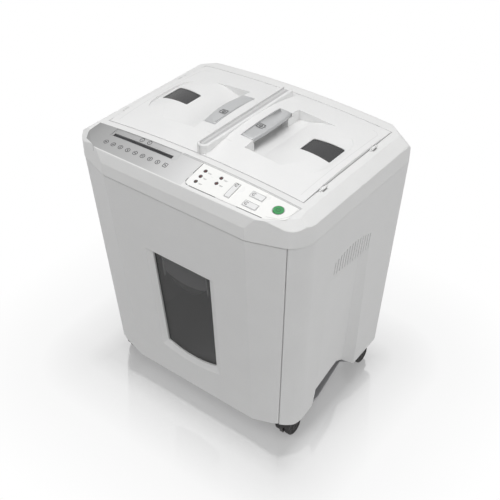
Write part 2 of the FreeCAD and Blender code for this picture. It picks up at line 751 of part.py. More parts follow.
def control_board():
    board = box(BOARD_X[0], BOARD_X[1], BOARD_Y[0], BOARD_Y[1], BOARD_Z, BOARD_Z + BOARD_THICK)
    parts = [board]
    centres = [key_centre(k) for k in (KEY_TALL, KEY_UPPER, KEY_LOWER)] + [START_CENTRE]
    top = BOARD_Z + BOARD_THICK
    for x, y in centres:
        parts.append(box(x - 3, x + 3, y - 3, y + 3, top - 0.1, top + SWITCH_HEIGHT))
    return fuse(parts)


# ---- lids ----


def lid_rise(x):
    share = (LID_HALF_WIDTH - x) / LID_HALF_WIDTH
    return LID_RISE_OUTER + (LID_RISE_INNER - LID_RISE_OUTER) * share


def lid_volume(lift, inset, low):
    """Right half of the arched lid body: its outside, or its inside when lowered and inset."""
    sections = []
    xs = (LID_SEAM / 2 + inset, 60.0, 120.0, LID_HALF_WIDTH - inset)
    y0, y1 = LID_FRONT_Y + inset, LID_BACK_Y - inset
    for x in xs:
        edge = crown_z(x) + lift
        top = edge + lid_rise(x)
        front, back = V(x, y0, edge), V(x, y1, edge)
        sections.append(Part.Wire([
            Part.Arc(front, V(x, (y0 + y1) / 2, top), back).toShape(),
            Part.LineSegment(back, V(x, y1, low)).toShape(),
            Part.LineSegment(V(x, y1, low), V(x, y0, low)).toShape(),
            Part.LineSegment(V(x, y0, low), front).toShape(),
        ]))
    return Part.makeLoft(sections, True, False)


def recess_volume(grow):
    """Finger recess: deep beside the grip, rising over a crease to a low hump under the window."""
    x0, x1 = RECESS_X[0] - grow, RECESS_X[1] + grow
    y0, y1 = RECESS_Y[0] - grow, RECESS_Y[1] + grow
    floor = RECESS_FLOOR_Z - grow
    crease = V(RECESS_CREASE[0], y0, RECESS_CREASE[1] - grow)
    hump = V(RECESS_HUMP[0], y0, RECESS_HUMP[1] - grow)
    end = V(x1, y0, RECESS_END[1] - grow)
    edges = [
        Part.LineSegment(V(x0, y0, floor), crease).toShape(),
        Part.Arc(crease, hump, end).toShape(),
        Part.LineSegment(end, V(x1, y0, 490)).toShape(),
        Part.LineSegment(V(x1, y0, 490), V(x0, y0, 490)).toShape(),
        Part.LineSegment(V(x0, y0, 490), V(x0, y0, floor)).toShape(),
    ]
    solid = Part.Face(Part.Wire(edges)).extrude(V(0, y1 - y0, 0))
    plan = [(x0, y0, 0), (x1, y0, 44), (x1, y1, 44), (x0, y1, 0)]
    outline = Part.Face(rounded_wire(plan, 430)).extrude(V(0, 0, 70))
    return solid.common(outline)


def recess_cut():
    """The recess without what stays standing under the grip."""
    volume = recess_volume(0)
    strip_x = GRIP_X[1] + 0.5
    front_strip = box(0, strip_x, -60, GRIP_Y[0] + POST_THICK, 430, 500)
    back_strip = box(0, strip_x, GRIP_Y[1] - SUPPORT_THICK, 120, 430, 500)
    return volume.cut(front_strip).cut(back_strip)


def window_plan(grow, z0, z1):
    x0, x1 = WINDOW_X
    y0, y1 = WINDOW_Y
    corners = [(x0 - grow, y0 - grow, 2), (x1 + grow, y0 - grow, 2), (x1 + grow, y1 + 3.5 + grow, 3),
               (x0 - grow, y1 - 3.0 + grow, 3)]
    return Part.Face(rounded_wire(corners, z0)).extrude(V(0, 0, z1 - z0))


def bead_half():
    """Half of the raised bead along the meeting edge, with a rounded front end."""
    y_end = LID_FRONT_Y + BEAD_HALF_WIDTH
    low = LID_SKIRT_Z + 8
    height = BEAD_TOP_Z - low
    bar = box(-BEAD_HALF_WIDTH, BEAD_HALF_WIDTH, y_end, BEAD_BACK_Y, low, BEAD_TOP_Z)
    nose = cylinder(BEAD_HALF_WIDTH, height, (0, y_end, low), (0, 0, 1))
    bar = fuse([bar, nose])
    rim_edges = [e for e in bar.Edges if e.BoundBox.ZMin > BEAD_TOP_Z - 0.1 and e.BoundBox.YMin < BEAD_BACK_Y - 1]
    bar = bar.makeFillet(BEAD_EDGE, rim_edges)
    return bar.common(box(LID_SEAM / 2, 20, LID_FRONT_Y - 5, BEAD_BACK_Y + 5, low, BEAD_TOP_Z + 1))


def bead_groove():
    """Channel along the top of the bead, through the lid where that rises beside it."""
    y_end = LID_FRONT_Y + BEAD_HALF_WIDTH
    floor = BEAD_TOP_Z - GROOVE_DEPTH
    channel = box(-1, GROOVE_HALF_WIDTH, y_end, BEAD_BACK_Y + 1, floor, BEAD_TOP_Z + 1)
    mouth = cylinder(GROOVE_HALF_WIDTH, GROOVE_DEPTH + 1, (0, y_end, floor), (0, 0, 1))
    return fuse([channel, mouth])


def lid_shell():
    outer = lid_volume(0, 0, LID_SKIRT_Z)
    inner = lid_volume(-LID_SKIN, LID_SKIN, LID_SKIRT_Z - 2)
    tub = recess_volume(LID_SKIN).common(outer)
    support = box(GRIP_X[0], GRIP_X[1], GRIP_Y[1] - SUPPORT_THICK, GRIP_Y[1], RECESS_FLOOR_Z, 480).common(outer)
    shell = fuse([outer.cut(inner), tub, support, bead_half()])
    shell = shell.cut(recess_cut()).cut(bead_groove())
    # pocket for the grip
    shell = shell.cut(grip_plan(0.25, 440, 490).common(above_lid(-GRIP_THICK + GRIP_PROUD)))
    # window opening with a ledge for the pane
    shell = shell.cut(window_plan(0, 440, 490))
    ledge = window_plan(2.0, 440, 490).common(below_hump(WINDOW_SINK))
    shell = shell.cut(ledge)
    arms = []
    for y in HINGE_Y:
        half = HINGE_ARM_LENGTH / 2
        barrel = cylinder(HINGE_BARREL, 2 * half, (HINGE_X, y - half, HINGE_Z), (0, 1, 0))
        web = box(LID_HALF_WIDTH - LID_SKIN, HINGE_X, y - half, y + half, HINGE_Z - 1.8, HINGE_Z + 1.2)
        pin_half = half + HINGE_PIN_REACH
        pin = cylinder(HINGE_PIN, 2 * pin_half, (HINGE_X, y - pin_half, HINGE_Z), (0, 1, 0))
        arms += [barrel, web, pin]
    return fuse([shell] + arms)


def above_lid(lift):
    """Everything above the lid's outer surface, moved by lift."""
    return box(-1, 190, -100, 150, 430, 520).cut(lid_volume(lift, -0.5, 400))


def below_hump(drop):
    """Everything lower than the recess floor under the window, lowered by drop."""
    tall = box(60, RECESS_X[1] + 1, -60, 100, 400, 520)
    return tall.cut(recess_volume(drop)).cut(box(-5, 300, -100, 200, 480, 520))


def lid_window():
    lens = window_plan(1.8, 440, 490).common(recess_volume(WINDOW_SINK + WINDOW_PANE))
    return lens.cut(recess_volume(WINDOW_SINK))


def grip_plan(grow, z0, z1):
    x0, x1 = GRIP_X[0] - grow, GRIP_X[1] + grow
    y0, y1 = GRIP_Y[0] - grow, GRIP_Y[1] + grow
    edges = [
        Part.LineSegment(V(x0, y1, z0), V(x0, y0, z0)).toShape(),
        Part.LineSegment(V(x0, y0, z0), V(x1, y0, z0)).toShape(),
        Part.Arc(V(x1, y0, z0), V(x1 + GRIP_BULGE, (y0 + y1) / 2, z0), V(x1, y1, z0)).toShape(),
        Part.LineSegment(V(x1, y1, z0), V(x0, y1, z0)).toShape(),
    ]
    return Part.Face(Part.Wire(edges)).extrude(V(0, 0, z1 - z0))


def lid_grip():
    slab = grip_plan(0, 440, 490).common(lid_volume(GRIP_PROUD, -0.5, 400))
    return slab.cut(lid_volume(GRIP_PROUD - GRIP_THICK, -1.0, 400))


# ---- paper bay ----


def paper_tray():
    x1 = LID_HALF_WIDTH + LID_GAP
    points = [(TRAY_THROAT_X, TRAY_THROAT_Z), (x1, TRAY_EDGE_Z), (x1, TRAY_EDGE_Z - TRAY_THICK),
              (TRAY_THROAT_X, TRAY_THROAT_Z - TRAY_THICK)]
    bed = prism_xz(points, LID_FRONT_Y - LID_GAP, LID_BACK_Y + LID_GAP)
    lip = box(TRAY_THROAT_X, TRAY_THROAT_X + TRAY_THICK, CUT_Y[0] + 0.5, CUT_Y[1] - 0.5,
              TRAY_LIP_Z, TRAY_THROAT_Z - 0.5)
    return fuse([bed, lip])


# ---- base and casters ----


def base_tray():
    plate = body_solid(SKIN + PLATE_GAP, PLATE_Z[0], PLATE_Z[1])
    plate = plate.cut(box(-220, 220, -200, -118.0, 0, 100))
    parts = [plate]
    for sign in (-1, 1):
        wall = box(UPSTAND_X, UPSTAND_X + 2.5, -100, 135, PLATE_Z[1] - 1, UPSTAND_Z)
        runner = box(120, 132, -112, 130, PLATE_Z[1] - 1, BIN_FLOOR_Z - 0.3)
        parts.append(wall if sign > 0 else mirrored(wall))
        parts.append(runner if sign > 0 else mirrored(runner))
        for y in CASTER_Y:
            boss = cylinder(STEM_RADIUS + SOCKET_WALL, STEM_LENGTH, (sign * CASTER_X, y, PLATE_Z[0]), (0, 0, 1))
            parts.append(boss)
    tray = fuse(parts)
    lining = side_recess(SKIN + PLATE_GAP)
    tray = tray.cut(lining).cut(mirrored(lining))
    for sign in (-1, 1):
        for y in CASTER_Y:
            bore = cylinder(STEM_RADIUS + RUN_CLEARANCE, STEM_LENGTH - 2, (sign * CASTER_X, y, PLATE_Z[0] - 1),
                            (0, 0, 1))
            tray = tray.cut(bore)
    return tray


def trailing_back(shape, x, y, sign):
    """The caster part is built trailing outward; this swivels it so that its wheels trail to the back."""
    turned = shape.copy()
    turned.rotate(V(x, y, 0), V(0, 0, 1), 90 * sign)
    return turned


def caster_fork(x, y, sign):
    """Swivelling hood with its stem."""
    axle_x = x + sign * CASTER_TRAIL
    width = WEB_THICK + 2 * (WHEEL_WIDTH + WHEEL_GAP)
    outer = WHEEL_RADIUS + HOOD_GAP + HOOD_WALL
    hood = cylinder(outer, width, (axle_x, y - width / 2, WHEEL_RADIUS), (0, 1, 0))
    wheel_room = cylinder(WHEEL_RADIUS + HOOD_GAP, width + 2, (axle_x, y - width / 2 - 1, WHEEL_RADIUS), (0, 1, 0))
    hood = hood.cut(wheel_room)
    hood = hood.common(box(axle_x - 40, axle_x + 40, y - 30, y + 30, WHEEL_RADIUS + 6, 60))
    web = cylinder(outer - 0.5, WEB_THICK, (axle_x, y - WEB_THICK / 2, WHEEL_RADIUS), (0, 1, 0))
    web = web.common(box(axle_x - 40, axle_x + 40, y - 30, y + 30, WHEEL_RADIUS - 8, 60))
    turret_top = PLATE_Z[0] - TURRET_GAP
    turret = cylinder(TURRET_RADIUS, turret_top - 33, (x, y, 33), (0, 0, 1))
    turret = turret.cut(wheel_room)
    stem = cylinder(STEM_RADIUS, STEM_LENGTH - 4 + TURRET_GAP + 1, (x, y, turret_top - 1), (0, 0, 1))
    fork = fuse([hood, web, turret, stem])
    bore = cylinder(AXLE_RADIUS + RUN_CLEARANCE, WEB_THICK + 2, (axle_x, y - WEB_THICK / 2 - 1, WHEEL_RADIUS),
                    (0, 1, 0))
    return trailing_back(fork.cut(bore), x, y, sign)


def caster_wheels(x, y, sign):
    axle_x = x + sign * CASTER_TRAIL
    inner = WEB_THICK / 2 + WHEEL_GAP
    parts = []
    for side in (-1, 1):
        start = inner if side > 0 else -inner - WHEEL_WIDTH
        tyre = cylinder(WHEEL_RADIUS, WHEEL_WIDTH, (axle_x, y + start, WHEEL_RADIUS), (0, 1, 0))
        edges = [e for e in tyre.Edges if isinstance(e.Curve, Part.Circle)]
        parts.append(tyre.makeFillet(2.0, edges))
    axle_half = inner + WHEEL_WIDTH - 1
    parts.append(cylinder(AXLE_RADIUS, 2 * axle_half, (axle_x, y - axle_half, WHEEL_RADIUS), (0, 1, 0)))
    return trailing_back(fuse(parts), x, y, sign)


# ---- cutting unit ----


def end_plate(y):
    plate = box(PLATE_X[0], PLATE_X[1], y, y + END_PLATE, PLATE_LOW_Z, PLATE_HIGH_Z)
    plate = plate.cut(box(40, 200, y - 1, y + 10, 398, 420))
    for sign in (-1, 1):
        seat = cylinder(BEARING_RADIUS, 20, (sign * CUTTER_X, y - 5, CUTTER_Z), (0, 1, 0))
        feed = cylinder(FEED_SHAFT_RADIUS + RUN_CLEARANCE, 20, (sign * FEED_X, y - 5, FEED_Z), (0, 1, 0))
        plate = plate.cut(seat).cut(feed)
    for x, z in tie_places():
        plate = plate.cut(cylinder(TIE_RADIUS, 20, (x, y - 5, z), (0, 1, 0)))
    return plate.cut(cylinder(SHAFT_RADIUS + RUN_CLEARANCE, 20, (output_x(), y - 5, CUTTER_Z), (0, 1, 0)))


def tie_places():
    return ((-46.0, 340.0), (46.0, 340.0), (-46.0, 385.0), (46.0, 385.0))


def tie_bars():
    length = CUT_Y[1] - CUT_Y[0] + 2 * END_PLATE
    return Part.makeCompound([cylinder(TIE_RADIUS, length, (x, CUT_Y[0] - END_PLATE, z), (0, 1, 0))
                              for x, z in tie_places()])


def cutter_bearings():
    rings = []
    for sign in (-1, 1):
        for y in (CUT_Y[0] - END_PLATE, CUT_Y[1]):
            ring = cylinder(BEARING_RADIUS, END_PLATE, (sign * CUTTER_X, y, CUTTER_Z), (0, 1, 0))
            rings.append(ring.cut(cylinder(SHAFT_RADIUS + RUN_CLEARANCE, 20, (sign * CUTTER_X, y - 5, CUTTER_Z),
                                           (0, 1, 0))))
    return Part.makeCompound(rings)


def disc_places(sign):
    """Front face of each disc; the two rollers are half a pitch apart."""
    y0, y1 = CUT_Y[0] + 2, CUT_Y[1] - 2
    shift = 0.0 if sign < 0 else DISC_PITCH / 2
    count = int((y1 - y0 - DISC_PITCH) // DISC_PITCH)
    return [y0 + 2 + shift + i * DISC_PITCH for i in range(count)]


def cutter(sign):
    """Cutter roller: shaft, core and evenly spaced discs that mesh with the other roller."""
    x = sign * CUTTER_X
    y0, y1 = CUT_Y[0] + 2, CUT_Y[1] - 2
    front_end = CUT_Y[0] - END_PLATE - 3 - PULLEY_WIDTH
    parts = [cylinder(SHAFT_RADIUS, CUT_Y[1] + END_PLATE + 1 + GEAR_WIDTH - front_end, (x, front_end, CUTTER_Z),
                      (0, 1, 0)),
             cylinder(CUTTER_CORE, y1 - y0, (x, y0, CUTTER_Z), (0, 1, 0)),
             cylinder(PULLEY_RADIUS, PULLEY_WIDTH, (x, front_end, CUTTER_Z), (0, 1, 0))]
    for y in disc_places(sign):
        parts.append(cylinder(CUTTER_DISC, DISC_THICK, (x, y, CUTTER_Z), (0, 1, 0)))
    return fuse(parts)


def cutter_gear(sign):
    phase = 0.0 if sign < 0 else 0.5
    y = CUT_Y[1] + END_PLATE + 1
    body = gear(GEAR_TEETH, GEAR_PITCH_RADIUS, GEAR_WIDTH, (sign * CUTTER_X, y, CUTTER_Z), "Y", phase)
    return body.cut(cylinder(SHAFT_RADIUS, 40, (sign * CUTTER_X, y - 10, CUTTER_Z), (0, 1, 0)))


def output_radius():
    return GEAR_PITCH_RADIUS * OUTPUT_TEETH / GEAR_TEETH


def output_x():
    return CUTTER_X + GEAR_PITCH_RADIUS + output_radius()


def output_gear():
    y = CUT_Y[1] + END_PLATE + 1
    wheel = gear(OUTPUT_TEETH, output_radius(), GEAR_WIDTH, (output_x(), y, CUTTER_Z), "Y", 0.0)
    shaft = cylinder(SHAFT_RADIUS, END_PLATE + 1 + GEAR_WIDTH, (output_x(), CUT_Y[1], CUTTER_Z), (0, 1, 0))
    return fuse([wheel, shaft])


def gear_motor():
    case = box(50.5, 124, CUT_Y[1] - 38, CUT_Y[1] - 0.2, PLATE_LOW_Z + 2, 396)
    motor = cylinder(29, 100, (92, CUT_Y[1] - 137, 364), (0, 1, 0))
    cap = cylinder(12, 8, (92, CUT_Y[1] - 145, 364), (0, 1, 0))
    return fuse([case, motor, cap])


def strippers():
    combs = []
    for sign in (-1, 1):
        x = sign * (CUTTER_X + CUTTER_DISC + 3.5)
        comb = [box(x - 2, x + 2, CUT_Y[0], CUT_Y[1], CUTTER_Z - 12, CUTTER_Z + 12)]
        reach = sign * (CUTTER_X + CUTTER_CORE + 1)
        for y in disc_places(sign)[:-1]:
            start = y + DISC_THICK + 1
            comb.append(box(min(x, reach), max(x, reach), start, y + DISC_PITCH - 1, CUTTER_Z - 3, CUTTER_Z + 3))
        combs.append(fuse(comb))
    return Part.makeCompound(combs)


def feed_shaft(sign):
    x = sign * FEED_X
    front_end = CUT_Y[0] - END_PLATE - 3 - PULLEY_WIDTH
    shaft = cylinder(FEED_SHAFT_RADIUS, CUT_Y[1] + END_PLATE - front_end, (x, front_end, FEED_Z), (0, 1, 0))
    pulley = cylinder(PULLEY_RADIUS, PULLEY_WIDTH, (x, front_end, FEED_Z), (0, 1, 0))
    return fuse([shaft, pulley])


def feed_tyres(sign):
    x = sign * FEED_X
    tyres = []
    for y in FEED_TYRE_Y:
        tyre = cylinder(FEED_TYRE_RADIUS, FEED_TYRE_WIDTH, (x, y - FEED_TYRE_WIDTH / 2, FEED_Z), (0, 1, 0))
        tyres.append(tyre.cut(cylinder(FEED_SHAFT_RADIUS, 40, (x, y - 20, FEED_Z), (0, 1, 0))))
    return Part.makeCompound(tyres)


def stadium(a, b, radius, y, width):
    """Solid round both ends of a segment in the XZ plane."""
    (ax, az), (bx, bz) = a, b
    length = math.hypot(bx - ax, bz - az)
    nx, nz = -(bz - az) / length * radius, (bx - ax) / length * radius
    slab = prism_xz([(ax + nx, az + nz), (bx + nx, bz + nz), (bx - nx, bz - nz), (ax - nx, az - nz)], y, y + width)
    return fuse([slab, cylinder(radius, width, (ax, y, az), (0, 1, 0)), cylinder(radius, width, (bx, y, bz), (0, 1, 0))])


def feed_belts():
    belts = []
    y = CUT_Y[0] - END_PLATE - 3 - PULLEY_WIDTH
    for sign in (-1, 1):
        ends = ((sign * CUTTER_X, CUTTER_Z), (sign * FEED_X, FEED_Z))
        inner = PULLEY_RADIUS + BELT_GAP
        loop = stadium(ends[0], ends[1], inner + BELT_THICK, y + 0.5, PULLEY_WIDTH - 1)
        belts.append(loop.cut(stadium(ends[0], ends[1], inner, y, PULLEY_WIDTH)))
    return Part.makeCompound(belts)


def support_rails():
    rails = []
    z0 = PLATE_LOW_Z - RAIL_HEIGHT
    for y, lining in ((CUT_Y[0] - END_PLATE - 5, 0.0), (CUT_Y[1] + END_PLATE + 1 - RAIL_WIDTH, FLANGE)):
        half = side_x(z0) - SKIN - lining
        rails.append(box(-half, half, y, y + RAIL_WIDTH, z0, PLATE_LOW_Z))
    return Part.makeCompound(rails)


# ---- card cutter ----


def card_cut_y(sign):
    return CARD_SLOT_Y + sign * CARD_CUT_SPREAD


def card_limits():
    return CARD_SLOT_X[0] - 3, CARD_SLOT_X[1] - 2


def card_frame():
    x0, x1 = card_limits()
    low, high = CARD_CUT_Z - 18, CARD_CUT_Z + 14
    y0, y1 = CARD_SLOT_Y - 22, CARD_SLOT_Y + 21
    motor_x = x0 - 2 * CARD_PLATE - CARD_GEAR_WIDTH - 2
    plates = [box(x0 - CARD_PLATE, x0, y0, y1, low, high), box(x1, x1 + CARD_PLATE, y0, y1, low, high),
              box(motor_x - CARD_PLATE, motor_x, y0, y1, low, high),
              box(motor_x - CARD_PLATE, x1 + CARD_PLATE, y0, y0 + CARD_PLATE, low, low + 12),
              box(motor_x - CARD_PLATE, x1 + CARD_PLATE, y1 - CARD_PLATE, y1, low, low + 12)]
    frame = fuse(plates)
    for sign in (-1, 1):
        bore = cylinder(CARD_SHAFT_RADIUS + RUN_CLEARANCE, 400, (-300, card_cut_y(sign), CARD_CUT_Z), (1, 0, 0))
        frame = frame.cut(bore)
    # foot that stands on the front support rail
    foot = box(x0 - CARD_PLATE, x1 + CARD_PLATE, y1 - CARD_PLATE, y1, PLATE_LOW_Z, low + 1)
    return fuse([frame, foot])


def card_cutter(sign):
    x0, x1 = card_limits()
    y = card_cut_y(sign)
    start = x0 - 2 * CARD_PLATE - CARD_GEAR_WIDTH - 2
    parts = [cylinder(CARD_SHAFT_RADIUS, x1 + CARD_PLATE - start, (start, y, CARD_CUT_Z), (1, 0, 0)),
             cylinder(CARD_CUT_CORE, x1 - x0 - 2, (x0 + 1, y, CARD_CUT_Z), (1, 0, 0))]
    shift = 0.0 if sign < 0 else CARD_DISC_PITCH / 2
    count = int((x1 - x0 - 8) // CARD_DISC_PITCH)
    for i in range(count):
        x = x0 + 2 + shift + i * CARD_DISC_PITCH
        parts.append(cylinder(CARD_CUT_RADIUS, CARD_DISC_THICK, (x, y, CARD_CUT_Z), (1, 0, 0)))
    parts.append(gear(CARD_GEAR_TEETH, CARD_CUT_SPREAD, CARD_GEAR_WIDTH,
                      (x0 - CARD_PLATE - 1 - CARD_GEAR_WIDTH, y, CARD_CUT_Z), "X", 0.25))
    return fuse(parts)


def card_motor():
    x0 = card_limits()[0] - 3 * CARD_PLATE - CARD_GEAR_WIDTH - 2
    return cylinder(CARD_MOTOR_RADIUS, CARD_MOTOR_LENGTH, (x0 - CARD_MOTOR_LENGTH, card_cut_y(1), CARD_CUT_Z),
                    (1, 0, 0))


# ---- back ----


def rear_face_y():
    return mix(BASE_BACK, HEAD_BACK, INLET_Z)


def mains_inlet():
    y = rear_face_y()
    body = box(INLET_X - 14, INLET_X + 14, y - 18, y + 0.5, INLET_Z - 10, INLET_Z + 10)
    flange = box(INLET_X - 17, INLET_X + 17, y - SKIN - 3, y - SKIN - 0.6, INLET_Z - 13, INLET_Z + 13)
    socket = box(INLET_X - 12, INLET_X + 12, y - 14, y + 2, INLET_Z - 8, INLET_Z + 8)
    shell = fuse([body, flange]).cut(socket)
    pins = [box(INLET_X + dx - 1, INLET_X + dx + 1, y - 15, y - 3, INLET_Z - 2.5, INLET_Z + 2.5) for dx in (-7, 0, 7)]
    return fuse([shell] + pins)


def rocker_frame():
    y = rear_face_y()
    body = box(ROCKER_X - 15, ROCKER_X + 15, y - 16, y + 0.5, INLET_Z - 10.5, INLET_Z + 10.5)
    well = box(ROCKER_X - ROCKER_HALF - 1, ROCKER_X + ROCKER_HALF + 1, y - 13, y + 2, INLET_Z - 8, INLET_Z + 8)
    bore = cylinder(1.5 + RUN_CLEARANCE, 26, (ROCKER_X, y - 3, INLET_Z - 13), (0, 0, 1))
    return body.cut(well).cut(bore)


def rocker():
    y = rear_face_y()
    points = [(ROCKER_X - 10, y + 1.8), (ROCKER_X, y - 0.6), (ROCKER_X + 10, y - 1.2), (ROCKER_X + 8, y - 6),
              (ROCKER_X - 8, y - 6)]
    body = prism_xy(points, INLET_Z - 7.6, INLET_Z + 7.6)
    pivot = cylinder(1.5, 20, (ROCKER_X, y - 3, INLET_Z - 10), (0, 0, 1))
    return fuse([body, pivot])


def bin_sensor():
    rail_low = PLATE_LOW_Z - RAIL_HEIGHT
    return box(-8, 8, CUT_Y[0] - END_PLATE - 3, CUT_Y[0] + 3, rail_low - 8, rail_low)


def screw_places():
    return [(x, mix(BASE_BACK, HEAD_BACK, z), z) for x in SCREW_X for z in SCREW_Z]


def panel_screws():
    screws = []
    for x, face, z in screw_places():
        head = cylinder(SCREW_HEAD, SCREW_SINK - 0.2, (x, face - SCREW_SINK, z), (0, 1, 0))
        head = head.cut(box(x - 2.2, x + 2.2, face - 1.2, face + 1, z - 0.5, z + 0.5))
        head = head.cut(box(x - 0.5, x + 0.5, face - 1.2, face + 1, z - 2.2, z + 2.2))
        shank = cylinder(SCREW_SHANK, SKIN + FLANGE, (x, face - SKIN - FLANGE - 0.4, z), (0, 1, 0))
        screws.append(fuse([head, shank]))
    return Part.makeCompound(screws)


NODES = {
    "base_tray": base_tray,
    "side_panel_right": side_panel,
    "side_panel_left": lambda: mirrored(side_panel()),
    "rear_panel": rear_panel,
    "head_cover": head_cover,
    "control_overlay": control_overlay,
    "indicator_leds": indicator_leds,
    "control_board": control_board,
    "start_button": start_button,
    "key_tall": lambda: square_key(KEY_TALL),
    "key_upper": lambda: square_key(KEY_UPPER),
    "key_lower": lambda: square_key(KEY_LOWER),
    "lid_right": lid_shell,
    "lid_left": lambda: mirrored(lid_shell()),
    "grip_right": lid_grip,
    "grip_left": lambda: mirrored(lid_grip()),
    "lid_window_right": lid_window,
    "lid_window_left": lambda: mirrored(lid_window()),
    "paper_tray_right": paper_tray,
    "paper_tray_left": lambda: mirrored(paper_tray()),
    "bin_front": bin_front,
    "bin_window": bin_window,
    "bin_tub": bin_tub,
    "cutter_plate_front": lambda: end_plate(CUT_Y[0] - END_PLATE),
    "cutter_plate_rear": lambda: end_plate(CUT_Y[1]),
    "tie_bars": tie_bars,
    "cutter_bearings": cutter_bearings,
    "cutter_left": lambda: cutter(-1),
    "cutter_right": lambda: cutter(1),
    "cutter_gear_left": lambda: cutter_gear(-1),
    "cutter_gear_right": lambda: cutter_gear(1),
    "output_gear": output_gear,
    "gear_motor": gear_motor,
    "strippers": strippers,
    "feed_shaft_left": lambda: feed_shaft(-1),
    "feed_shaft_right": lambda: feed_shaft(1),
    "feed_tyres_left": lambda: feed_tyres(-1),
    "feed_tyres_right": lambda: feed_tyres(1),
    "feed_belts": feed_belts,
    "support_rails": support_rails,
    "card_frame": card_frame,
    "card_cutter_front": lambda: card_cutter(-1),
    "card_cutter_back": lambda: card_cutter(1),
    "card_motor": card_motor,
    "mains_inlet": mains_inlet,
    "rocker_frame": rocker_frame,
    "rocker": rocker,
    "bin_sensor": bin_sensor,
    "panel_screws": panel_screws,
}

for side_name, side_sign in (("left", -1), ("right", 1)):
    for end_name, caster_y in zip(("front", "back"), CASTER_Y):
        place = (side_sign * CASTER_X, caster_y, side_sign)
        NODES["caster_fork_%s_%s" % (end_name, side_name)] = lambda at=place: caster_fork(*at)
        NODES["caster_wheels_%s_%s" % (end_name, side_name)] = lambda at=place: caster_wheels(*at)

os.makedirs("parts", exist_ok=True)
for node_name, make in NODES.items():
    node_shape = make()
    node_shape.exportStep("parts/%s.step" % node_name)
    print(node_name, "solids", len(node_shape.Solids), "valid", node_shape.isValid(),
          "volume %.0f" % node_shape.Volume)
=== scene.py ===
import math

import bmesh
import bpy
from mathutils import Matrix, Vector
from mathutils.bvhtree import BVHTree


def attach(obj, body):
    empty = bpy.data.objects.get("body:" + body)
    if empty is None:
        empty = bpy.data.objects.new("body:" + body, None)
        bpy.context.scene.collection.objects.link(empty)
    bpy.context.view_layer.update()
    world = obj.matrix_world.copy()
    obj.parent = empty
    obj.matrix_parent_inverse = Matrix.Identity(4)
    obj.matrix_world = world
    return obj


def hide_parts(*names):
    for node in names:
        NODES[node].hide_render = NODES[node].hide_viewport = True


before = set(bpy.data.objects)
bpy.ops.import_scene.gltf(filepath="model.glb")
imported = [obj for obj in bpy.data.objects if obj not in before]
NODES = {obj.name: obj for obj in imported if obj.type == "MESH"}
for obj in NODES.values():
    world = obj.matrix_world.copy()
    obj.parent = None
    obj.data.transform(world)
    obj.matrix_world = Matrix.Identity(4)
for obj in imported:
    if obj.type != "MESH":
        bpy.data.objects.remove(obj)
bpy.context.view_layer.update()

MM = 0.001

# ---- sizes that the marks and trims share with the CAD, in millimetres ----
PANEL_TOP_Y = -99.5
PANEL_FRONT_Y = -150.5
LED_PLACES = ((31.0, -134.0), (31.0, -123.6), (31.0, -113.0), (58.5, -123.6), (58.5, -113.0))
SLOT_X = (-142.0, -29.0)
SLOT_Y = -112.6
START_CENTRE = (158.6, -120.5)
GRIP_X = (23.7, 45.0)
GRIP_Y = (-25.5, 69.5)
GRIP_THICK = 7.0
GROOVE_HALF = 6.3
GROOVE_BACK_Y = 120.6
GROOVE_FLOOR_Z = 473.0
CASTERS = {"front": -96.0, "back": 108.0}
CASTER_X = 163.0
CASTER_TRAIL = 10.0
WHEEL_RADIUS = 16.5
WHEEL_HALF_GAP = 3.5
WHEEL_WIDTH = 11.0


# ---- material helpers ----


def new_material(name):
    material = bpy.data.materials.new(name)
    material.use_nodes = True
    tree = material.node_tree
    tree.nodes.clear()
    out = tree.nodes.new("ShaderNodeOutputMaterial")
    return material, tree, out


def node(tree, kind, values=None, **settings):
    made = tree.nodes.new(kind)
    for key, value in settings.items():
        setattr(made, key, value)
    for key, value in (values or {}).items():
        made.inputs[key].default_value = value
    return made


def math_node(tree, operation, a, b=0.0):
    made = node(tree, "ShaderNodeMath", operation=operation)
    for index, value in enumerate((a, b)):
        if isinstance(value, (int, float)):
            made.inputs[index].default_value = value
        else:
            tree.links.new(value, made.inputs[index])
    return made.outputs[0]


def grey(value):
    return (value, value, value, 1.0)


def tint(colour, share):
    return tuple(c * share for c in colour[:3]) + (1.0,)


def mix_colour(tree, factor, a, b):
    """Colour between a and b; each is a colour or a socket."""
    made = node(tree, "ShaderNodeMix", data_type="RGBA")
    if isinstance(factor, (int, float)):
        made.inputs[0].default_value = factor
    else:
        tree.links.new(factor, made.inputs[0])
    for index, value in ((6, a), (7, b)):
        if isinstance(value, tuple):
            made.inputs[index].default_value = value
        else:
            tree.links.new(value, made.inputs[index])
    return made.outputs[2]


def noise(tree, feature, detail=3.0, rough=0.55):
    """Noise whose blobs are about feature millimetres wide, fixed to the object."""
    coords = node(tree, "ShaderNodeTexCoord")
    made = node(tree, "ShaderNodeTexNoise",
                {"Scale": 1.0 / (feature * MM), "Detail": detail, "Roughness": rough})
    tree.links.new(coords.outputs["Object"], made.inputs["Vector"])
    return made.outputs["Fac"]


def ramp(tree, factor, stops):
    made = node(tree, "ShaderNodeValToRGB")
    elements = made.color_ramp.elements
    while len(elements) < len(stops):
        elements.new(0.5)
    for element, (place, colour) in zip(elements, stops):
        element.position = place
        element.color = colour
    tree.links.new(factor, made.inputs["Fac"])
    return made.outputs["Color"]


def rounded_normal(tree, radius, bump_from, strength, height):
    """Normal that is softened over edges of the given radius, with a fine surface grain on top."""
    bevel = node(tree, "ShaderNodeBevel", {"Radius": radius * MM}, samples=6)
    bump = node(tree, "ShaderNodeBump", {"Strength": strength, "Distance": height * MM})
    tree.links.new(bump_from, bump.inputs["Height"])
    tree.links.new(bevel.outputs["Normal"], bump.inputs["Normal"])
    return bevel, bump


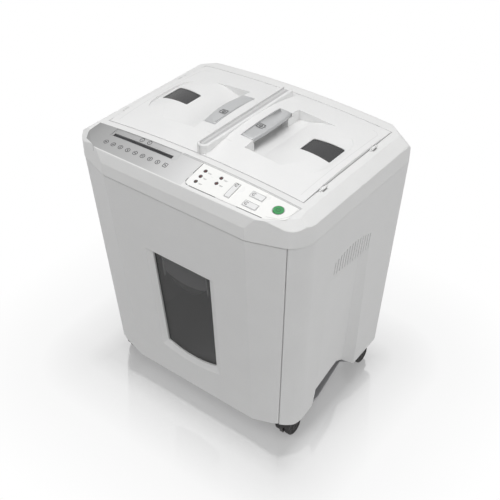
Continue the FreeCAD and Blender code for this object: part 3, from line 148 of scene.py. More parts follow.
def edge_mask(tree, bevel):
    """1 near a sharp edge and 0 on open faces."""
    geometry = node(tree, "ShaderNodeNewGeometry")
    dot = node(tree, "ShaderNodeVectorMath", operation="DOT_PRODUCT")
    tree.links.new(bevel.outputs["Normal"], dot.inputs[0])
    tree.links.new(geometry.outputs["Normal"], dot.inputs[1])
    lost = math_node(tree, "SUBTRACT", 1.0, dot.outputs["Value"])
    grown = math_node(tree, "MULTIPLY", lost, 5.0)
    return math_node(tree, "MINIMUM", grown, 1.0)


def moulded(name, colour, rough, edge=0.8, grain=0.5, grain_height=0.03, edge_highlight_and_wear=0.12, paint=None,
            specular=0.5, coat=0.0, metallic=0.0):
    """Moulded plastic: fine grain, faint clouding, soft edges glossier and painted a little lighter as a
    patchy highlight that also stands for wear.
    """
    material, tree, out = new_material(name)
    fine = noise(tree, grain, 4.0)
    cloud = noise(tree, 45.0, 3.0)
    bevel, bump = rounded_normal(tree, edge, fine, 0.35, grain_height)
    flecks = ramp(tree, fine, [(0.3, tint(colour, 0.955)), (0.5, tint(colour, 1.0)),
                               (0.72, tint(colour, 1.035))])
    clouds = ramp(tree, cloud, [(0.3, grey(0.975)), (0.7, grey(1.0))])
    both = node(tree, "ShaderNodeMix", {0: 1.0}, data_type="RGBA", blend_type="MULTIPLY")
    base = flecks
    if paint is not None:
        base = paint(tree, flecks)
    tree.links.new(base, both.inputs[6])
    tree.links.new(clouds, both.inputs[7])
    edges = edge_mask(tree, bevel)
    # painted highlight: edges are lightened in patches towards pale grey, standing for the bright edge
    # highlights and for light wear
    highlight_and_scuff_patches = noise(tree, 9.0, 5.0, 0.7)
    lit_and_worn_edges = math_node(tree, "MULTIPLY", math_node(tree, "MULTIPLY", edges, highlight_and_scuff_patches), edge_highlight_and_wear)
    colour_out = mix_colour(tree, lit_and_worn_edges, both.outputs[2], grey(0.92))
    rough_mid = math_node(tree, "MULTIPLY", cloud, 0.16)
    rough_low = math_node(tree, "ADD", rough_mid, rough - 0.08)
    rough_out = math_node(tree, "SUBTRACT", rough_low, math_node(tree, "MULTIPLY", edges, 0.06))
    shader = node(tree, "ShaderNodeBsdfPrincipled", {"Specular IOR Level": specular, "Coat Weight": coat,
                                                     "Metallic": metallic})
    tree.links.new(colour_out, shader.inputs["Base Color"])
    tree.links.new(rough_out, shader.inputs["Roughness"])
    tree.links.new(bump.outputs["Normal"], shader.inputs["Normal"])
    tree.links.new(shader.outputs[0], out.inputs["Surface"])
    return material


def machined(name, colour, rough, scratch=0.4, edge=0.25):
    """Bare metal with fine turning marks."""
    material, tree, out = new_material(name)
    coords = node(tree, "ShaderNodeTexCoord")
    stretch = node(tree, "ShaderNodeMapping", {"Scale": (1.0, 18.0, 1.0)})
    tree.links.new(coords.outputs["Object"], stretch.inputs["Vector"])
    lines = node(tree, "ShaderNodeTexNoise", {"Scale": 260.0, "Detail": 5.0})
    tree.links.new(stretch.outputs["Vector"], lines.inputs["Vector"])
    bevel, bump = rounded_normal(tree, edge, lines.outputs["Fac"], scratch, 0.02)
    base = ramp(tree, lines.outputs["Fac"], [(0.3, tint(colour, 0.8)), (0.7, colour)])
    rough_out = math_node(tree, "ADD", math_node(tree, "MULTIPLY", lines.outputs["Fac"], 0.2), rough - 0.1)
    shader = node(tree, "ShaderNodeBsdfPrincipled", {"Metallic": 1.0})
    tree.links.new(base, shader.inputs["Base Color"])
    tree.links.new(rough_out, shader.inputs["Roughness"])
    tree.links.new(bump.outputs["Normal"], shader.inputs["Normal"])
    tree.links.new(shader.outputs[0], out.inputs["Surface"])
    return material


def pane(name, colour, alpha, rough=0.08):
    """Smoked clear plastic: part of the light passes straight through."""
    material, tree, out = new_material(name)
    smears = noise(tree, 22.0, 4.0, 0.6)
    rough_out = math_node(tree, "ADD", math_node(tree, "MULTIPLY", smears, 0.1), rough)
    base = ramp(tree, smears, [(0.3, tint(colour, 0.9)), (0.7, colour)])
    bevel, bump = rounded_normal(tree, 0.4, smears, 0.1, 0.02)
    shader = node(tree, "ShaderNodeBsdfPrincipled", {"Alpha": alpha, "Specular IOR Level": 0.35})
    tree.links.new(base, shader.inputs["Base Color"])
    tree.links.new(rough_out, shader.inputs["Roughness"])
    tree.links.new(bump.outputs["Normal"], shader.inputs["Normal"])
    tree.links.new(shader.outputs[0], out.inputs["Surface"])
    return material


def half_plane(tree, place, a, b):
    """Signed distance in metres from the plan line a-b, positive on its left."""
    (ax, ay), (bx, by) = a, b
    length = math.hypot(bx - ax, by - ay)
    nx, ny = -(by - ay) / length, (bx - ax) / length
    along_x = math_node(tree, "MULTIPLY", place.outputs["X"], nx)
    along_y = math_node(tree, "MULTIPLY", place.outputs["Y"], ny)
    total = math_node(tree, "ADD", along_x, along_y)
    return math_node(tree, "SUBTRACT", total, (ax * nx + ay * ny) * MM)


SILVER_OUTLINE = ((-183.0, -99.9), (-182.6, -126.0), (-178.3, -134.6), (-149.6, -148.9), (16.8, -148.9),
                  (16.8, -99.9))


def panel_paint(tree, plastic):
    """Silver-grey film printed over the left of the sloping control area, paler towards its right."""
    coords = node(tree, "ShaderNodeTexCoord")
    place = node(tree, "ShaderNodeSeparateXYZ")
    tree.links.new(coords.outputs["Object"], place.inputs[0])
    inside = None
    corners = SILVER_OUTLINE
    for index, corner in enumerate(corners):
        distance = half_plane(tree, place, corner, corners[(index + 1) % len(corners)])
        inside = distance if inside is None else math_node(tree, "MINIMUM", inside, distance)
    sharp = math_node(tree, "MULTIPLY", inside, 1.0 / (0.4 * MM))
    sharp = math_node(tree, "MAXIMUM", math_node(tree, "MINIMUM", sharp, 1.0), 0.0)
    high = math_node(tree, "GREATER_THAN", place.outputs["Z"], 440.0 * MM)
    mask = math_node(tree, "MULTIPLY", sharp, high)
    along = math_node(tree, "ADD", math_node(tree, "MULTIPLY", place.outputs["X"], 1.0 / (202.0 * MM)),
                      186.0 / 202.0)
    film = ramp(tree, along, [(0.0, grey(0.26)), (0.1, grey(0.33)), (0.3, grey(0.40)), (0.62, grey(0.47)),
                              (0.98, grey(0.68))])
    return mix_colour(tree, mask, plastic, film)


WHITE = (0.79, 0.79, 0.785, 1.0)
BODY = (0.76, 0.76, 0.757, 1.0)
M = {
    "head": moulded("head_plastic", WHITE, 0.42, edge=2.2, paint=panel_paint),
    "lid": moulded("lid_plastic", (0.81, 0.81, 0.807, 1.0), 0.44, edge=0.7),
    "body": moulded("cabinet_plastic", BODY, 0.46, edge=1.6),
    "door": moulded("door_plastic", BODY, 0.46, edge=1.1),
    "silver": moulded("silver_plastic", (0.50, 0.505, 0.51, 1.0), 0.36, edge=0.9, grain=0.3, metallic=0.25),
    # painted shade: grey for the shaded floor of the groove along the bead
    "bead": moulded("groove_painted_shade", (0.60, 0.60, 0.60, 1.0), 0.45, edge=0.4),
    "film": moulded("overlay_film", (0.90, 0.90, 0.885, 1.0), 0.3, edge=0.15, grain=0.25, grain_height=0.01,
                    edge_highlight_and_wear=0.0),
    "key": moulded("key_caps", (0.80, 0.80, 0.80, 1.0), 0.35, edge=0.5, grain=0.25),
    "green": moulded("green_button", (0.035, 0.30, 0.085, 1.0), 0.3, edge=0.9, grain=0.3, edge_highlight_and_wear=0.05),
    "black": moulded("black_plastic", (0.018, 0.016, 0.016, 1.0), 0.42, edge=0.6, edge_highlight_and_wear=0.03),
    "rubber": moulded("black_rubber", (0.013, 0.012, 0.012, 1.0), 0.62, edge=0.8, grain=0.8,
                      grain_height=0.08, edge_highlight_and_wear=0.02),
    "tub": moulded("bin_plastic", (0.42, 0.42, 0.42, 1.0), 0.5, edge=2.0, edge_highlight_and_wear=0.05),
    "grey": moulded("grey_plastic", (0.34, 0.34, 0.35, 1.0), 0.5, edge=0.8, edge_highlight_and_wear=0.06),
    "dark": moulded("dark_gap", (0.035, 0.035, 0.037, 1.0), 0.6, edge=0.3, edge_highlight_and_wear=0.0),
    "print": moulded("print_grey", (0.045, 0.045, 0.047, 1.0), 0.45, edge=0.05, grain=0.2, grain_height=0.005,
                     edge_highlight_and_wear=0.0),
    "faint": moulded("print_pale", (0.33, 0.33, 0.33, 1.0), 0.45, edge=0.05, grain=0.2, grain_height=0.005,
                     edge_highlight_and_wear=0.0),
    # painted shade: darker grey for the shade lines at the steps in the lids
    "step": moulded("step_shade_line", (0.66, 0.66, 0.655, 1.0), 0.5, edge=0.1, edge_highlight_and_wear=0.0),
    "slot": moulded("slot_brush", (0.10, 0.10, 0.105, 1.0), 0.7, edge=0.2, edge_highlight_and_wear=0.0),
    "lamp_red": moulded("lamp_red", (0.085, 0.008, 0.010, 1.0), 0.2, edge=0.3, edge_highlight_and_wear=0.0, coat=0.5),
    "lamp_green": moulded("lamp_green", (0.012, 0.050, 0.016, 1.0), 0.2, edge=0.3, edge_highlight_and_wear=0.0, coat=0.5),
    "board": moulded("board_green", (0.03, 0.16, 0.06, 1.0), 0.4, edge=0.2, grain=0.6),
    "steel": machined("cutter_steel", (0.50, 0.50, 0.52, 1.0), 0.3),
    "zinc": machined("zinc_plate", (0.60, 0.61, 0.63, 1.0), 0.4, scratch=0.25),
    "window": pane("smoked_window", (0.095, 0.095, 0.095, 1.0), 0.42),
    "lid_window": pane("smoked_lid_window", (0.07, 0.07, 0.072, 1.0), 0.72),
}

CAD_LOOKS = {
    "head": ["head_cover"],
    "lid": ["lid_right", "lid_left"],
    "body": ["side_panel_right", "side_panel_left", "rear_panel"],
    "door": ["bin_front"],
    "film": ["control_overlay"],
    "key": ["key_tall", "key_upper", "key_lower"],
    "green": ["start_button"],
    "lamp_red": ["indicator_leds"],
    "board": ["control_board"],
    "lid_window": ["lid_window_right", "lid_window_left"],
    "window": ["bin_window"],
    "tub": ["bin_tub"],
    "grey": ["paper_tray_right", "paper_tray_left", "strippers", "base_tray"],
    "zinc": ["cutter_plate_front", "cutter_plate_rear", "support_rails", "card_frame", "panel_screws"],
    "steel": ["tie_bars", "cutter_bearings", "cutter_left", "cutter_right", "cutter_gear_left",
              "cutter_gear_right", "output_gear", "gear_motor", "feed_shaft_left", "feed_shaft_right",
              "card_cutter_front", "card_cutter_back", "card_motor"],
    "rubber": ["feed_tyres_left", "feed_tyres_right", "feed_belts"],
    "black": ["mains_inlet", "rocker_frame", "rocker", "bin_sensor"],
    "silver": ["grip_right", "grip_left"],
}
CAD_LOOKS["black"] += [f"caster_fork_{end}_{side}" for end in CASTERS for side in ("left", "right")]
CAD_LOOKS["rubber"] += [f"caster_wheels_{end}_{side}" for end in CASTERS for side in ("left", "right")]


def dress(obj, material):
    if not obj.material_slots:
        obj.data.materials.append(material)
    for place in obj.material_slots:
        place.material = material


for look, names in CAD_LOOKS.items():
    for name in names:
        dress(NODES[name], M[look])


# ---- mesh helpers ----


def surface(*names):
    """Search tree over the faces of CAD nodes, in metres."""
    points, faces = [], []
    for name in names:
        mesh = NODES[name].data
        start = len(points)
        points += [v.co.copy() for v in mesh.vertices]
        faces += [[start + i for i in p.vertices] for p in mesh.polygons]
    return BVHTree.FromPolygons(points, faces)


def height_on(tree, x, y, top=520.0):
    """Height in millimetres of the first surface below the point."""
    hit = tree.ray_cast(Vector((x * MM, y * MM, top * MM)), Vector((0, 0, -1)))
    return hit[0].z / MM if hit[0] is not None else None


def as_object(name, bm, material, body, smooth=True):
    bmesh.ops.recalc_face_normals(bm, faces=bm.faces)
    mesh = bpy.data.meshes.new(name)
    bm.to_mesh(mesh)
    bm.free()
    obj = bpy.data.objects.new(name, mesh)
    bpy.context.scene.collection.objects.link(obj)
    for polygon in mesh.polygons:
        polygon.use_smooth = smooth
    mesh.materials.append(material)
    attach(obj, body)
    return obj


def finer(points, step, closed):
    """The same polyline with no run longer than step."""
    made = []
    count = len(points)
    for i in range(count if closed else count - 1):
        a, b = Vector(points[i]), Vector(points[(i + 1) % count])
        parts = max(1, int(math.ceil((b - a).length / step)))
        made += [a.lerp(b, k / parts) for k in range(parts)]
    if not closed:
        made.append(Vector(points[-1]))
    return made


def ribbon(bm, tree, points, width, lift=0.12, sink=0.25, closed=False, step=3.0):
    """Thin closed strip that follows a plan polyline over a surface."""
    path = finer([tuple(p) for p in points], step, closed)
    count = len(path)
    rings = []
    for i, here in enumerate(path):
        before = path[i - 1] if (closed or i > 0) else here
        after = path[(i + 1) % count] if (closed or i < count - 1) else here
        along = (after - before).normalized()
        across = Vector((-along.y, along.x)) * (width / 2)
        ring = []
        for side in (1, -1):
            edge = here + across * side
            z = height_on(tree, edge.x, edge.y)
            if z is None:
                z = height_on(tree, here.x, here.y) or 450.0
            ring.append((edge, z))
        rings.append(ring)
    rows = []
    for (left, left_z), (right, right_z) in rings:
        rows.append([bm.verts.new((left.x * MM, left.y * MM, (left_z + lift) * MM)),
                     bm.verts.new((right.x * MM, right.y * MM, (right_z + lift) * MM)),
                     bm.verts.new((right.x * MM, right.y * MM, (right_z - sink) * MM)),
                     bm.verts.new((left.x * MM, left.y * MM, (left_z - sink) * MM))])
    spans = count if closed else count - 1
    for i in range(spans):
        a, b = rows[i], rows[(i + 1) % count]
        for k in range(4):
            bm.faces.new((a[k], a[(k + 1) % 4], b[(k + 1) % 4], b[k]))
    if not closed:
        bm.faces.new(rows[0])
        bm.faces.new(list(reversed(rows[-1])))


def circle(cx, cy, radius, count=20, start=0.0, sweep=2 * math.pi):
    closed = sweep >= 2 * math.pi
    spans = count if closed else count - 1
    turns = [start + sweep * i / spans for i in range(count)]
    return [(cx + radius * math.cos(turn), cy + radius * math.sin(turn)) for turn in turns]


def rounded_box(x0, y0, x1, y1, radius, count=5):
    points = []
    for cx, cy, start in ((x1 - radius, y0 + radius, -0.5), (x1 - radius, y1 - radius, 0.0),
                          (x0 + radius, y1 - radius, 0.5), (x0 + radius, y0 + radius, 1.0)):
        points += circle(cx, cy, radius, count, start * math.pi, math.pi / 2)
    return points


def plate(bm, outline, z_of, lift, sink, step=6.0):
    """Closed sheet with a plan outline; its top follows z_of(x, y) + lift and its foot z_of - sink."""
    flat = bmesh.new()
    face = flat.faces.new([flat.verts.new((x, y, 0)) for x, y in outline])
    xs = [p[0] for p in outline]
    ys = [p[1] for p in outline]
    for axis, low, high in ((0, min(xs), max(xs)), (1, min(ys), max(ys))):
        cuts = int((high - low) / step)
        for i in range(1, cuts + 1):
            place, normal = [0, 0, 0], [0, 0, 0]
            place[axis] = low + (high - low) * i / (cuts + 1)
            normal[axis] = 1
            geom = flat.verts[:] + flat.edges[:] + flat.faces[:]
            bmesh.ops.bisect_plane(flat, geom=geom, plane_co=place, plane_no=normal)
    flat.verts.index_update()
    tops, feet = [], []
    for v in flat.verts:
        z = z_of(v.co.x, v.co.y)
        tops.append(bm.verts.new((v.co.x * MM, v.co.y * MM, (z + lift) * MM)))
        feet.append(bm.verts.new((v.co.x * MM, v.co.y * MM, (z - sink) * MM)))
    for f in flat.faces:
        order = [v.index for v in f.verts]
        bm.faces.new([tops[i] for i in order])
        bm.faces.new([feet[i] for i in reversed(order)])
    for e in flat.edges:
        if len(e.link_faces) == 1:
            a, b = e.verts[0].index, e.verts[1].index
            bm.faces.new((tops[a], tops[b], feet[b], feet[a]))
    flat.free()


def lathe(bm, profile, centre, axis, count=48):
    """Solid of revolution of an (along, radius) profile around the line along axis through centre."""
    axis = Vector(axis)
    side = axis.orthogonal().normalized()
    up = axis.cross(side)
    rings = []
    for along, radius in profile:
        middle = Vector(centre) + axis * along
        if radius < 1e-6:
            rings.append([bm.verts.new(middle * MM)])
            continue
        ring = []
        for i in range(count):
            turn = 2 * math.pi * i / count
            ring.append(bm.verts.new((middle + (side * math.cos(turn) + up * math.sin(turn)) * radius) * MM))
        rings.append(ring)
    for a, b in zip(rings, rings[1:]):
        for i in range(count):
            k = (i + 1) % count
            if len(a) == 1:
                bm.faces.new((a[0], b[k], b[i]))
            elif len(b) == 1:
                bm.faces.new((a[i], a[k], b[0]))
            else:
                bm.faces.new((a[i], a[k], b[k], b[i]))


def block(bm, x0, x1, y0, y1, z0, z1):
    made = bmesh.ops.create_cube(bm, size=1.0)
    centre = Vector(((x0 + x1) / 2, (y0 + y1) / 2, (z0 + z1) / 2))
    size = Vector((x1 - x0, y1 - y0, z1 - z0))
    for v in made["verts"]:
        v.co = (centre + v.co * size) * MM
    return made["verts"]


head = surface("head_cover", "control_overlay")


def on_head(x, y):
    z = height_on(head, x, y)
    if z is None or z < 436:
        share = (y - PANEL_TOP_Y) / (PANEL_FRONT_Y - PANEL_TOP_Y)
        crown = 454.0 + 8.0 * (1 - (x / 175.0) ** 2)
        z = crown + (448.5 - crown) * share
    return z


# ---- printed lines and marks on the control area ----
bm = bmesh.new()
outline = [(19.2, -101.2), (18.4, -118.0), (17.6, -138.0)]
outline += [(19.0, -141.6), (22.4, -143.9), (28.0, -144.6)]
outline += [(60.0, -144.4), (100.0, -144.1), (148.8, -143.4)]
ribbon(bm, head, outline, 1.0)
as_object("panel_outline", bm, M["print"], "chassis", smooth=False)

bm = bmesh.new()
for y in (-99.9, -102.4):
    ribbon(bm, head, [(-19.0, y), (60.0, y), (181.5, y)], 0.4, step=6.0)
HATCH_COUNT = 96
HATCH_START_X = -18.0
HATCH_PITCH = 2.08
for i in range(HATCH_COUNT):
    x = HATCH_START_X + i * HATCH_PITCH
    ribbon(bm, head, [(x, -100.2), (x, -102.1)], 0.45)
ribbon(bm, head, [(181.5, -99.9), (179.0, -112.0), (176.0, -124.5), (168.5, -133.5), (152.0, -139.0)], 0.22)
as_object("panel_border", bm, M["faint"], "chassis", smooth=False)

bm = bmesh.new()
for x in (-93.8, -79.4):
    ribbon(bm, head, circle(x, -104.2, 3.4), 0.9, closed=True, step=1.2)
    ribbon(bm, head, [(x - 1.4, -104.2), (x + 1.4, -104.2)], 0.7)
MARK_COUNT = 9
MARK_START = (-139.3, -132.0)
MARK_PITCH = 13.98
MARK_RISE = 0.25
for i in range(MARK_COUNT):
    x = MARK_START[0] + MARK_PITCH * i
    y = MARK_START[1] + MARK_RISE * i
    if i == MARK_COUNT - 1:
        ribbon(bm, head, rounded_box(x - 3, y - 3.4, x + 3, y + 3.4, 0.8), 0.9, closed=True, step=1.2)
    else:
        ribbon(bm, head, circle(x, y, 3.5), 0.9, closed=True, step=1.2)
    turn = 0.7 * i
    dx, dy = 1.8 * math.cos(turn), 1.8 * math.sin(turn)
    ribbon(bm, head, [(x - dx, y - dy), (x + dx, y + dy)], 1.5)
as_object("panel_marks", bm, M["print"], "chassis", smooth=False)

# ---- lamps: dark bezels, one green lens, and a pale dash beside each ----
bm = bmesh.new()
for x, y in LED_PLACES:
    ribbon(bm, head, circle(x, y, 2.35, 24), 0.9, lift=0.25, closed=True, step=1.0)
as_object("lamp_bezels", bm, M["dark"], "chassis", smooth=False)
bm = bmesh.new()
for x, y in LED_PLACES:
    for k, length in ((0, 6.5), (1, 4.5)):
        start = x + 5.0 + k * 1.2
        ribbon(bm, head, [(start, y - 0.5 - 1.2 * k), (start + length, y - 0.5 - 1.2 * k)], 0.45)
as_object("lamp_dashes", bm, M["faint"], "chassis", smooth=False)
LENS_PROFILE = [(-1.2, 1.95), (0.1, 1.95), (0.5, 1.6), (0.85, 0.9), (0.95, 0.0)]
LENS_SIDES = 24
bm = bmesh.new()
green_x, green_y = LED_PLACES[0]
lens_z = on_head(green_x + 3.6, green_y)
lathe(bm, LENS_PROFILE, (green_x, green_y, lens_z), (0, 0, 1), LENS_SIDES)
as_object("lamp_lens_green", bm, M["lamp_green"], "chassis")
bm = bmesh.new()
for x, y in LED_PLACES[1:]:
    lens_z = on_head(x + 3.6, y)
    lathe(bm, LENS_PROFILE, (x, y, lens_z), (0, 0, 1), LENS_SIDES)
as_object("lamp_lenses_red", bm, M["lamp_red"], "chassis")

# ---- small generic symbols on the keys and the start button ----
KEY_SYMBOLS = {"key_tall": (85.5, -113.6, 2.6), "key_upper": (115.4, -115.0, 2.5),
               "key_lower": (116.4, -133.0, 2.5)}
KEY_FRAMES = {"key_tall": (81.0, -137.0, 90.0, -110.0), "key_upper": (110.5, -120.0, 132.0, -110.0),
              "key_lower": (111.5, -138.0, 133.5, -128.0)}
for key, (x, y, radius) in KEY_SYMBOLS.items():
    top = surface(key)
    bm = bmesh.new()
    ribbon(bm, top, circle(x, y, radius, 16, 0.6, 5.0), 0.8, lift=0.08, step=1.0)
    ribbon(bm, top, [(x - 0.9, y - 0.9), (x + 0.9, y + 0.9)], 0.6, lift=0.08)
    x0, y0, x1, y1 = KEY_FRAMES[key]
    rim = rounded_box(x0 + 0.35, y0 + 0.35, x1 - 0.35, y1 - 0.35, 0.5, 3)
    ribbon(bm, top, rim, 0.35, lift=0.06, closed=True)
    as_object(f"{key}_symbol", bm, M["print"], key, smooth=False)
bm = bmesh.new()
button_top = surface("start_button")
start_x, start_y = START_CENTRE
ribbon(bm, button_top, circle(start_x, start_y, 3.0, 24, 2.2, 5.0), 0.6, lift=0.08, step=1.0)
ribbon(bm, button_top, [(start_x, start_y + 0.4), (start_x, start_y + 3.6)], 0.6, lift=0.08)
as_object("start_button_symbol", bm, M["dark"], "start_button", smooth=False)
bm = bmesh.new()
ribbon(bm, head, circle(start_x, start_y, 8.1, 40), 0.7, lift=0.2, closed=True, step=2.0)
as_object("start_button_ring", bm, M["faint"], "chassis", smooth=False)

# ---- dust brush in the card slot: two rows of fine teeth ----
bm = bmesh.new()
TOOTH_PITCH = 1.45
teeth = int((SLOT_X[1] - SLOT_X[0] - 3.0) / TOOTH_PITCH)
for i in range(teeth):
    x = SLOT_X[0] + 1.5 + i * TOOTH_PITCH
    z = on_head(x, SLOT_Y - 6.0) - 1.5
    for low, high in ((-3.0, -0.5), (0.5, 3.0)):
        block(bm, x, x + 0.75, SLOT_Y + low, SLOT_Y + high, z - 3.0, z)
as_object("slot_brush", bm, M["slot"], "chassis", smooth=False)


# ---- lids: grips, painted shade lines at the lid steps, and the groove floor painted grey as shade along the bead ----


def smooth_grip(side):
    """Silver grip with rounded corners, a crowned top and a chamfered lower edge."""
    x0, x1 = GRIP_X
    y0, y1 = GRIP_Y
    inner = 4.0
    outline = circle(x0 + inner, y0 + inner, inner, 7, -math.pi, math.pi / 2)
    outline += circle(x1 - inner, y0 + inner, inner, 7, -math.pi / 2, math.pi / 2)
    bulge = 3.5
    for i in range(1, 12):
        share = i / 12
        outline.append((x1 + bulge * 4 * share * (1 - share), y0 + inner + (y1 - y0 - 2 * inner) * share))
    outline += circle(x1 - inner, y1 - inner, inner, 7, 0.0, math.pi / 2)
    outline += circle(x0 + inner, y1 - inner, inner, 7, math.pi / 2, math.pi / 2)
    tree = surface(f"grip_{side}")
    sign = 1 if side == "right" else -1
    heights = {}

    def z_of(x, y):
        inside_x = min(max(x, x0 + 0.6), x1 - 0.6)
        inside_y = min(max(y, y0 + 0.6), y1 - 0.6)
        key = (round(inside_x, 3), round(inside_y, 3))
        if key not in heights:
            heights[key] = height_on(tree, sign * inside_x, inside_y) or 470.0
        return heights[key]

    layers = ((0.0, -1.6), (0.45, -0.6), (1.2, -0.12), (2.6, 0.0))
    bm = bmesh.new()
    rings = []
    cx, cy = (x0 + x1) / 2, (y0 + y1) / 2

    def inset_ring(inset, drop):
        ring = []
        for x, y in outline:
            px = x + (inset if x < cx else -inset)
            py = y + (inset if y < cy else -inset) * (1.0 if abs(y - cy) > (y1 - y0) / 2 - inner else 0.0)
            ring.append(bm.verts.new((sign * px * MM, py * MM, (z_of(px, py) + drop) * MM)))
        return ring

    rings.append(inset_ring(0.5, -GRIP_THICK + 0.4))
    rings.append(inset_ring(0.0, -GRIP_THICK + 1.2))
    for inset, drop in layers:
        rings.append(inset_ring(inset, drop))
    count = len(outline)
    for a, b in zip(rings, rings[1:]):
        for i in range(count):
            k = (i + 1) % count
            bm.faces.new((a[i], a[k], b[k], b[i]))
    bm.faces.new(rings[-1])
    bm.faces.new(list(reversed(rings[0])))
    bmesh.ops.triangulate(bm, faces=[f for f in bm.faces if len(f.verts) > 4])
    obj = as_object(f"grip_cover_{side}", bm, M["silver"], f"lid_{side}")
    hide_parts(f"grip_{side}")
    return obj


for side, sign in (("right", 1), ("left", -1)):
    grip = smooth_grip(side)
    lid_top = surface(f"lid_{side}")
    grip_top = surface(f"grip_{side}")
    body = f"lid_{side}"
    # painted shade: darker strips along the faint steps in the lid surface stand for the shade at those steps
    bm = bmesh.new()
    for points, width in (
        ([(11.0, -44.6), (23.0, -44.6)], 0.45),
        ([(164.0, -78.0), (166.5, 60.0), (166.0, 112.0), (162.0, 118.5), (154.0, 120.5)], 0.5),
    ):
        ribbon(bm, lid_top, [(sign * x, y) for x, y in points], width, lift=0.06)
    as_object(f"lid_step_shade_{side}", bm, M["step"], body, smooth=False)
    bm = bmesh.new()
    mark_x, mark_y = 34.0, 8.0
    frame_points = rounded_box(mark_x - 5.4, mark_y - 4.8, mark_x + 5.4, mark_y + 4.8, 0.8)
    ribbon(bm, grip_top, [(sign * x, y) for x, y in frame_points], 0.7, lift=0.1, closed=True, step=1.5)
    ribbon(bm, grip_top, [(sign * x, y) for x, y in circle(mark_x, mark_y, 2.2)], 0.8, lift=0.1, closed=True,
           step=1.0)
    ribbon(bm, grip_top, [(sign * (mark_x + 6.2), mark_y), (sign * (mark_x + 8.2), mark_y)], 0.6, lift=0.1)
    as_object(f"grip_mark_{side}", bm, M["print"], body, smooth=False)
    # floor of the groove along the bead, painted grey as the shade that falls in the groove
    bm = bmesh.new()
    nose = circle(0.0, -77.7, GROOVE_HALF, 8, -math.pi / 2 + 0.06, math.pi / 2 - 0.06)
    outline = [(0.35, GROOVE_BACK_Y), (0.35, -83.9)] + [p for p in nose if p[0] > 0.5]
    outline += [(GROOVE_HALF, GROOVE_BACK_Y)]
    plate(bm, [(sign * x, y) for x, y in outline], lambda x, y: GROOVE_FLOOR_Z, 0.15, 0.3, step=40.0)
    as_object(f"bead_groove_shade_{side}", bm, M["bead"], body, smooth=False)

# ---- bin window: the finger scoop and its two ribs behind the pane ----
DOOR_LOW, DOOR_HIGH = (29.3, -124.3), (411.0, -154.5)


def door_face(z):
    share = (z - DOOR_LOW[0]) / (DOOR_HIGH[0] - DOOR_LOW[0])
    return DOOR_LOW[1] + (DOOR_HIGH[1] - DOOR_LOW[1]) * share


def behind_pane(bm, outline, depth, thick):
    """Flat plate parallel to the leaning door: outline in (x, z), depth behind the door face."""
    front = [bm.verts.new((x * MM, (door_face(z) + depth) * MM, z * MM)) for x, z in outline]
    back = [bm.verts.new((x * MM, (door_face(z) + depth + thick) * MM, z * MM)) for x, z in outline]
    bm.faces.new(front)
    bm.faces.new(list(reversed(back)))
    count = len(outline)
    for i in range(count):
        k = (i + 1) % count
        bm.faces.new((front[i], front[k], back[k], back[i]))


SCOOP_HALF = 41.0
bm = bmesh.new()
band = [(-SCOOP_HALF, 304.0), (SCOOP_HALF, 304.0)]
for i in range(17):
    share = i / 16
    x = SCOOP_HALF * (1 - 2 * share)
    band.append((x, 262.0 - 10.0 * 4 * share * (1 - share)))
behind_pane(bm, band, 10.6, 2.0)
as_object("bin_scoop_band", bm, M["grey"], "bin", smooth=False)
bm = bmesh.new()
lens = []
for i in range(17):
    share = i / 16
    lens.append((SCOOP_HALF * 0.97 * (1 - 2 * share), 263.0 - 9.0 * 4 * share * (1 - share)))
for i in range(1, 16):
    share = i / 16
    lens.append((-SCOOP_HALF * 0.97 * (1 - 2 * share), 263.0 - 27.0 * 4 * share * (1 - share)))
behind_pane(bm, lens, 11.2, 1.4)
as_object("bin_scoop_shadow", bm, M["dark"], "bin", smooth=False)
bm = bmesh.new()
for x in (-SCOOP_HALF - 2.5, SCOOP_HALF + 1.0):
    behind_pane(bm, [(x, 304.0), (x + 1.6, 304.0), (x + 1.6, 252.0), (x, 249.0)], 9.8, 3.4)
as_object("bin_scoop_ribs", bm, M["body"], "bin", smooth=False)


# ---- casters: tyres with rounded shoulders and a stepped hub ----
HUB_BOLTS = 6
HUB_BOLT_RING = 9.6
for end, y in CASTERS.items():
    for side, sign in (("right", 1), ("left", -1)):
        axle = Vector((sign * CASTER_X, y + CASTER_TRAIL, WHEEL_RADIUS))
        bm = bmesh.new()
        for face in (-1, 1):
            w, r = WHEEL_WIDTH, WHEEL_RADIUS
            profile = [(0.0, 0.0), (0.0, r - 3.0), (0.5, r - 1.2), (1.8, r - 0.1), (3.0, r), (w - 3.0, r)]
            profile += [(w - 1.8, r - 0.1), (w - 0.5, r - 1.2), (w, r - 3.0), (w - 0.6, r - 3.6)]
            profile += [(w - 1.6, r - 4.2), (w - 1.6, 7.2), (w - 0.4, 6.6), (w - 0.1, 5.6)]
            profile += [(w - 0.1, 2.6), (w - 1.0, 2.2), (w - 1.0, 0.0)]
            lathe(bm, profile, axle + Vector((face * WHEEL_HALF_GAP, 0, 0)), (face, 0, 0))
            for i in range(HUB_BOLTS):
                turn = 2 * math.pi * i / HUB_BOLTS
                place = axle + Vector((face * (WHEEL_HALF_GAP + w - 1.9), HUB_BOLT_RING * math.cos(turn),
                                       HUB_BOLT_RING * math.sin(turn)))
                lathe(bm, [(0.0, 0.0), (0.0, 1.5), (0.9, 1.3), (0.9, 0.0)], place, (face, 0, 0), 12)
        half = WHEEL_HALF_GAP + 2.0
        lathe(bm, [(-half, 0.0), (-half, 2.5), (half, 2.5), (half, 0.0)], axle, (1, 0, 0), 24)
        wheels = as_object(f"caster_tyres_{end}_{side}", bm, M["rubber"], f"wheels_{end}_{side}")
        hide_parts(f"caster_wheels_{end}_{side}")

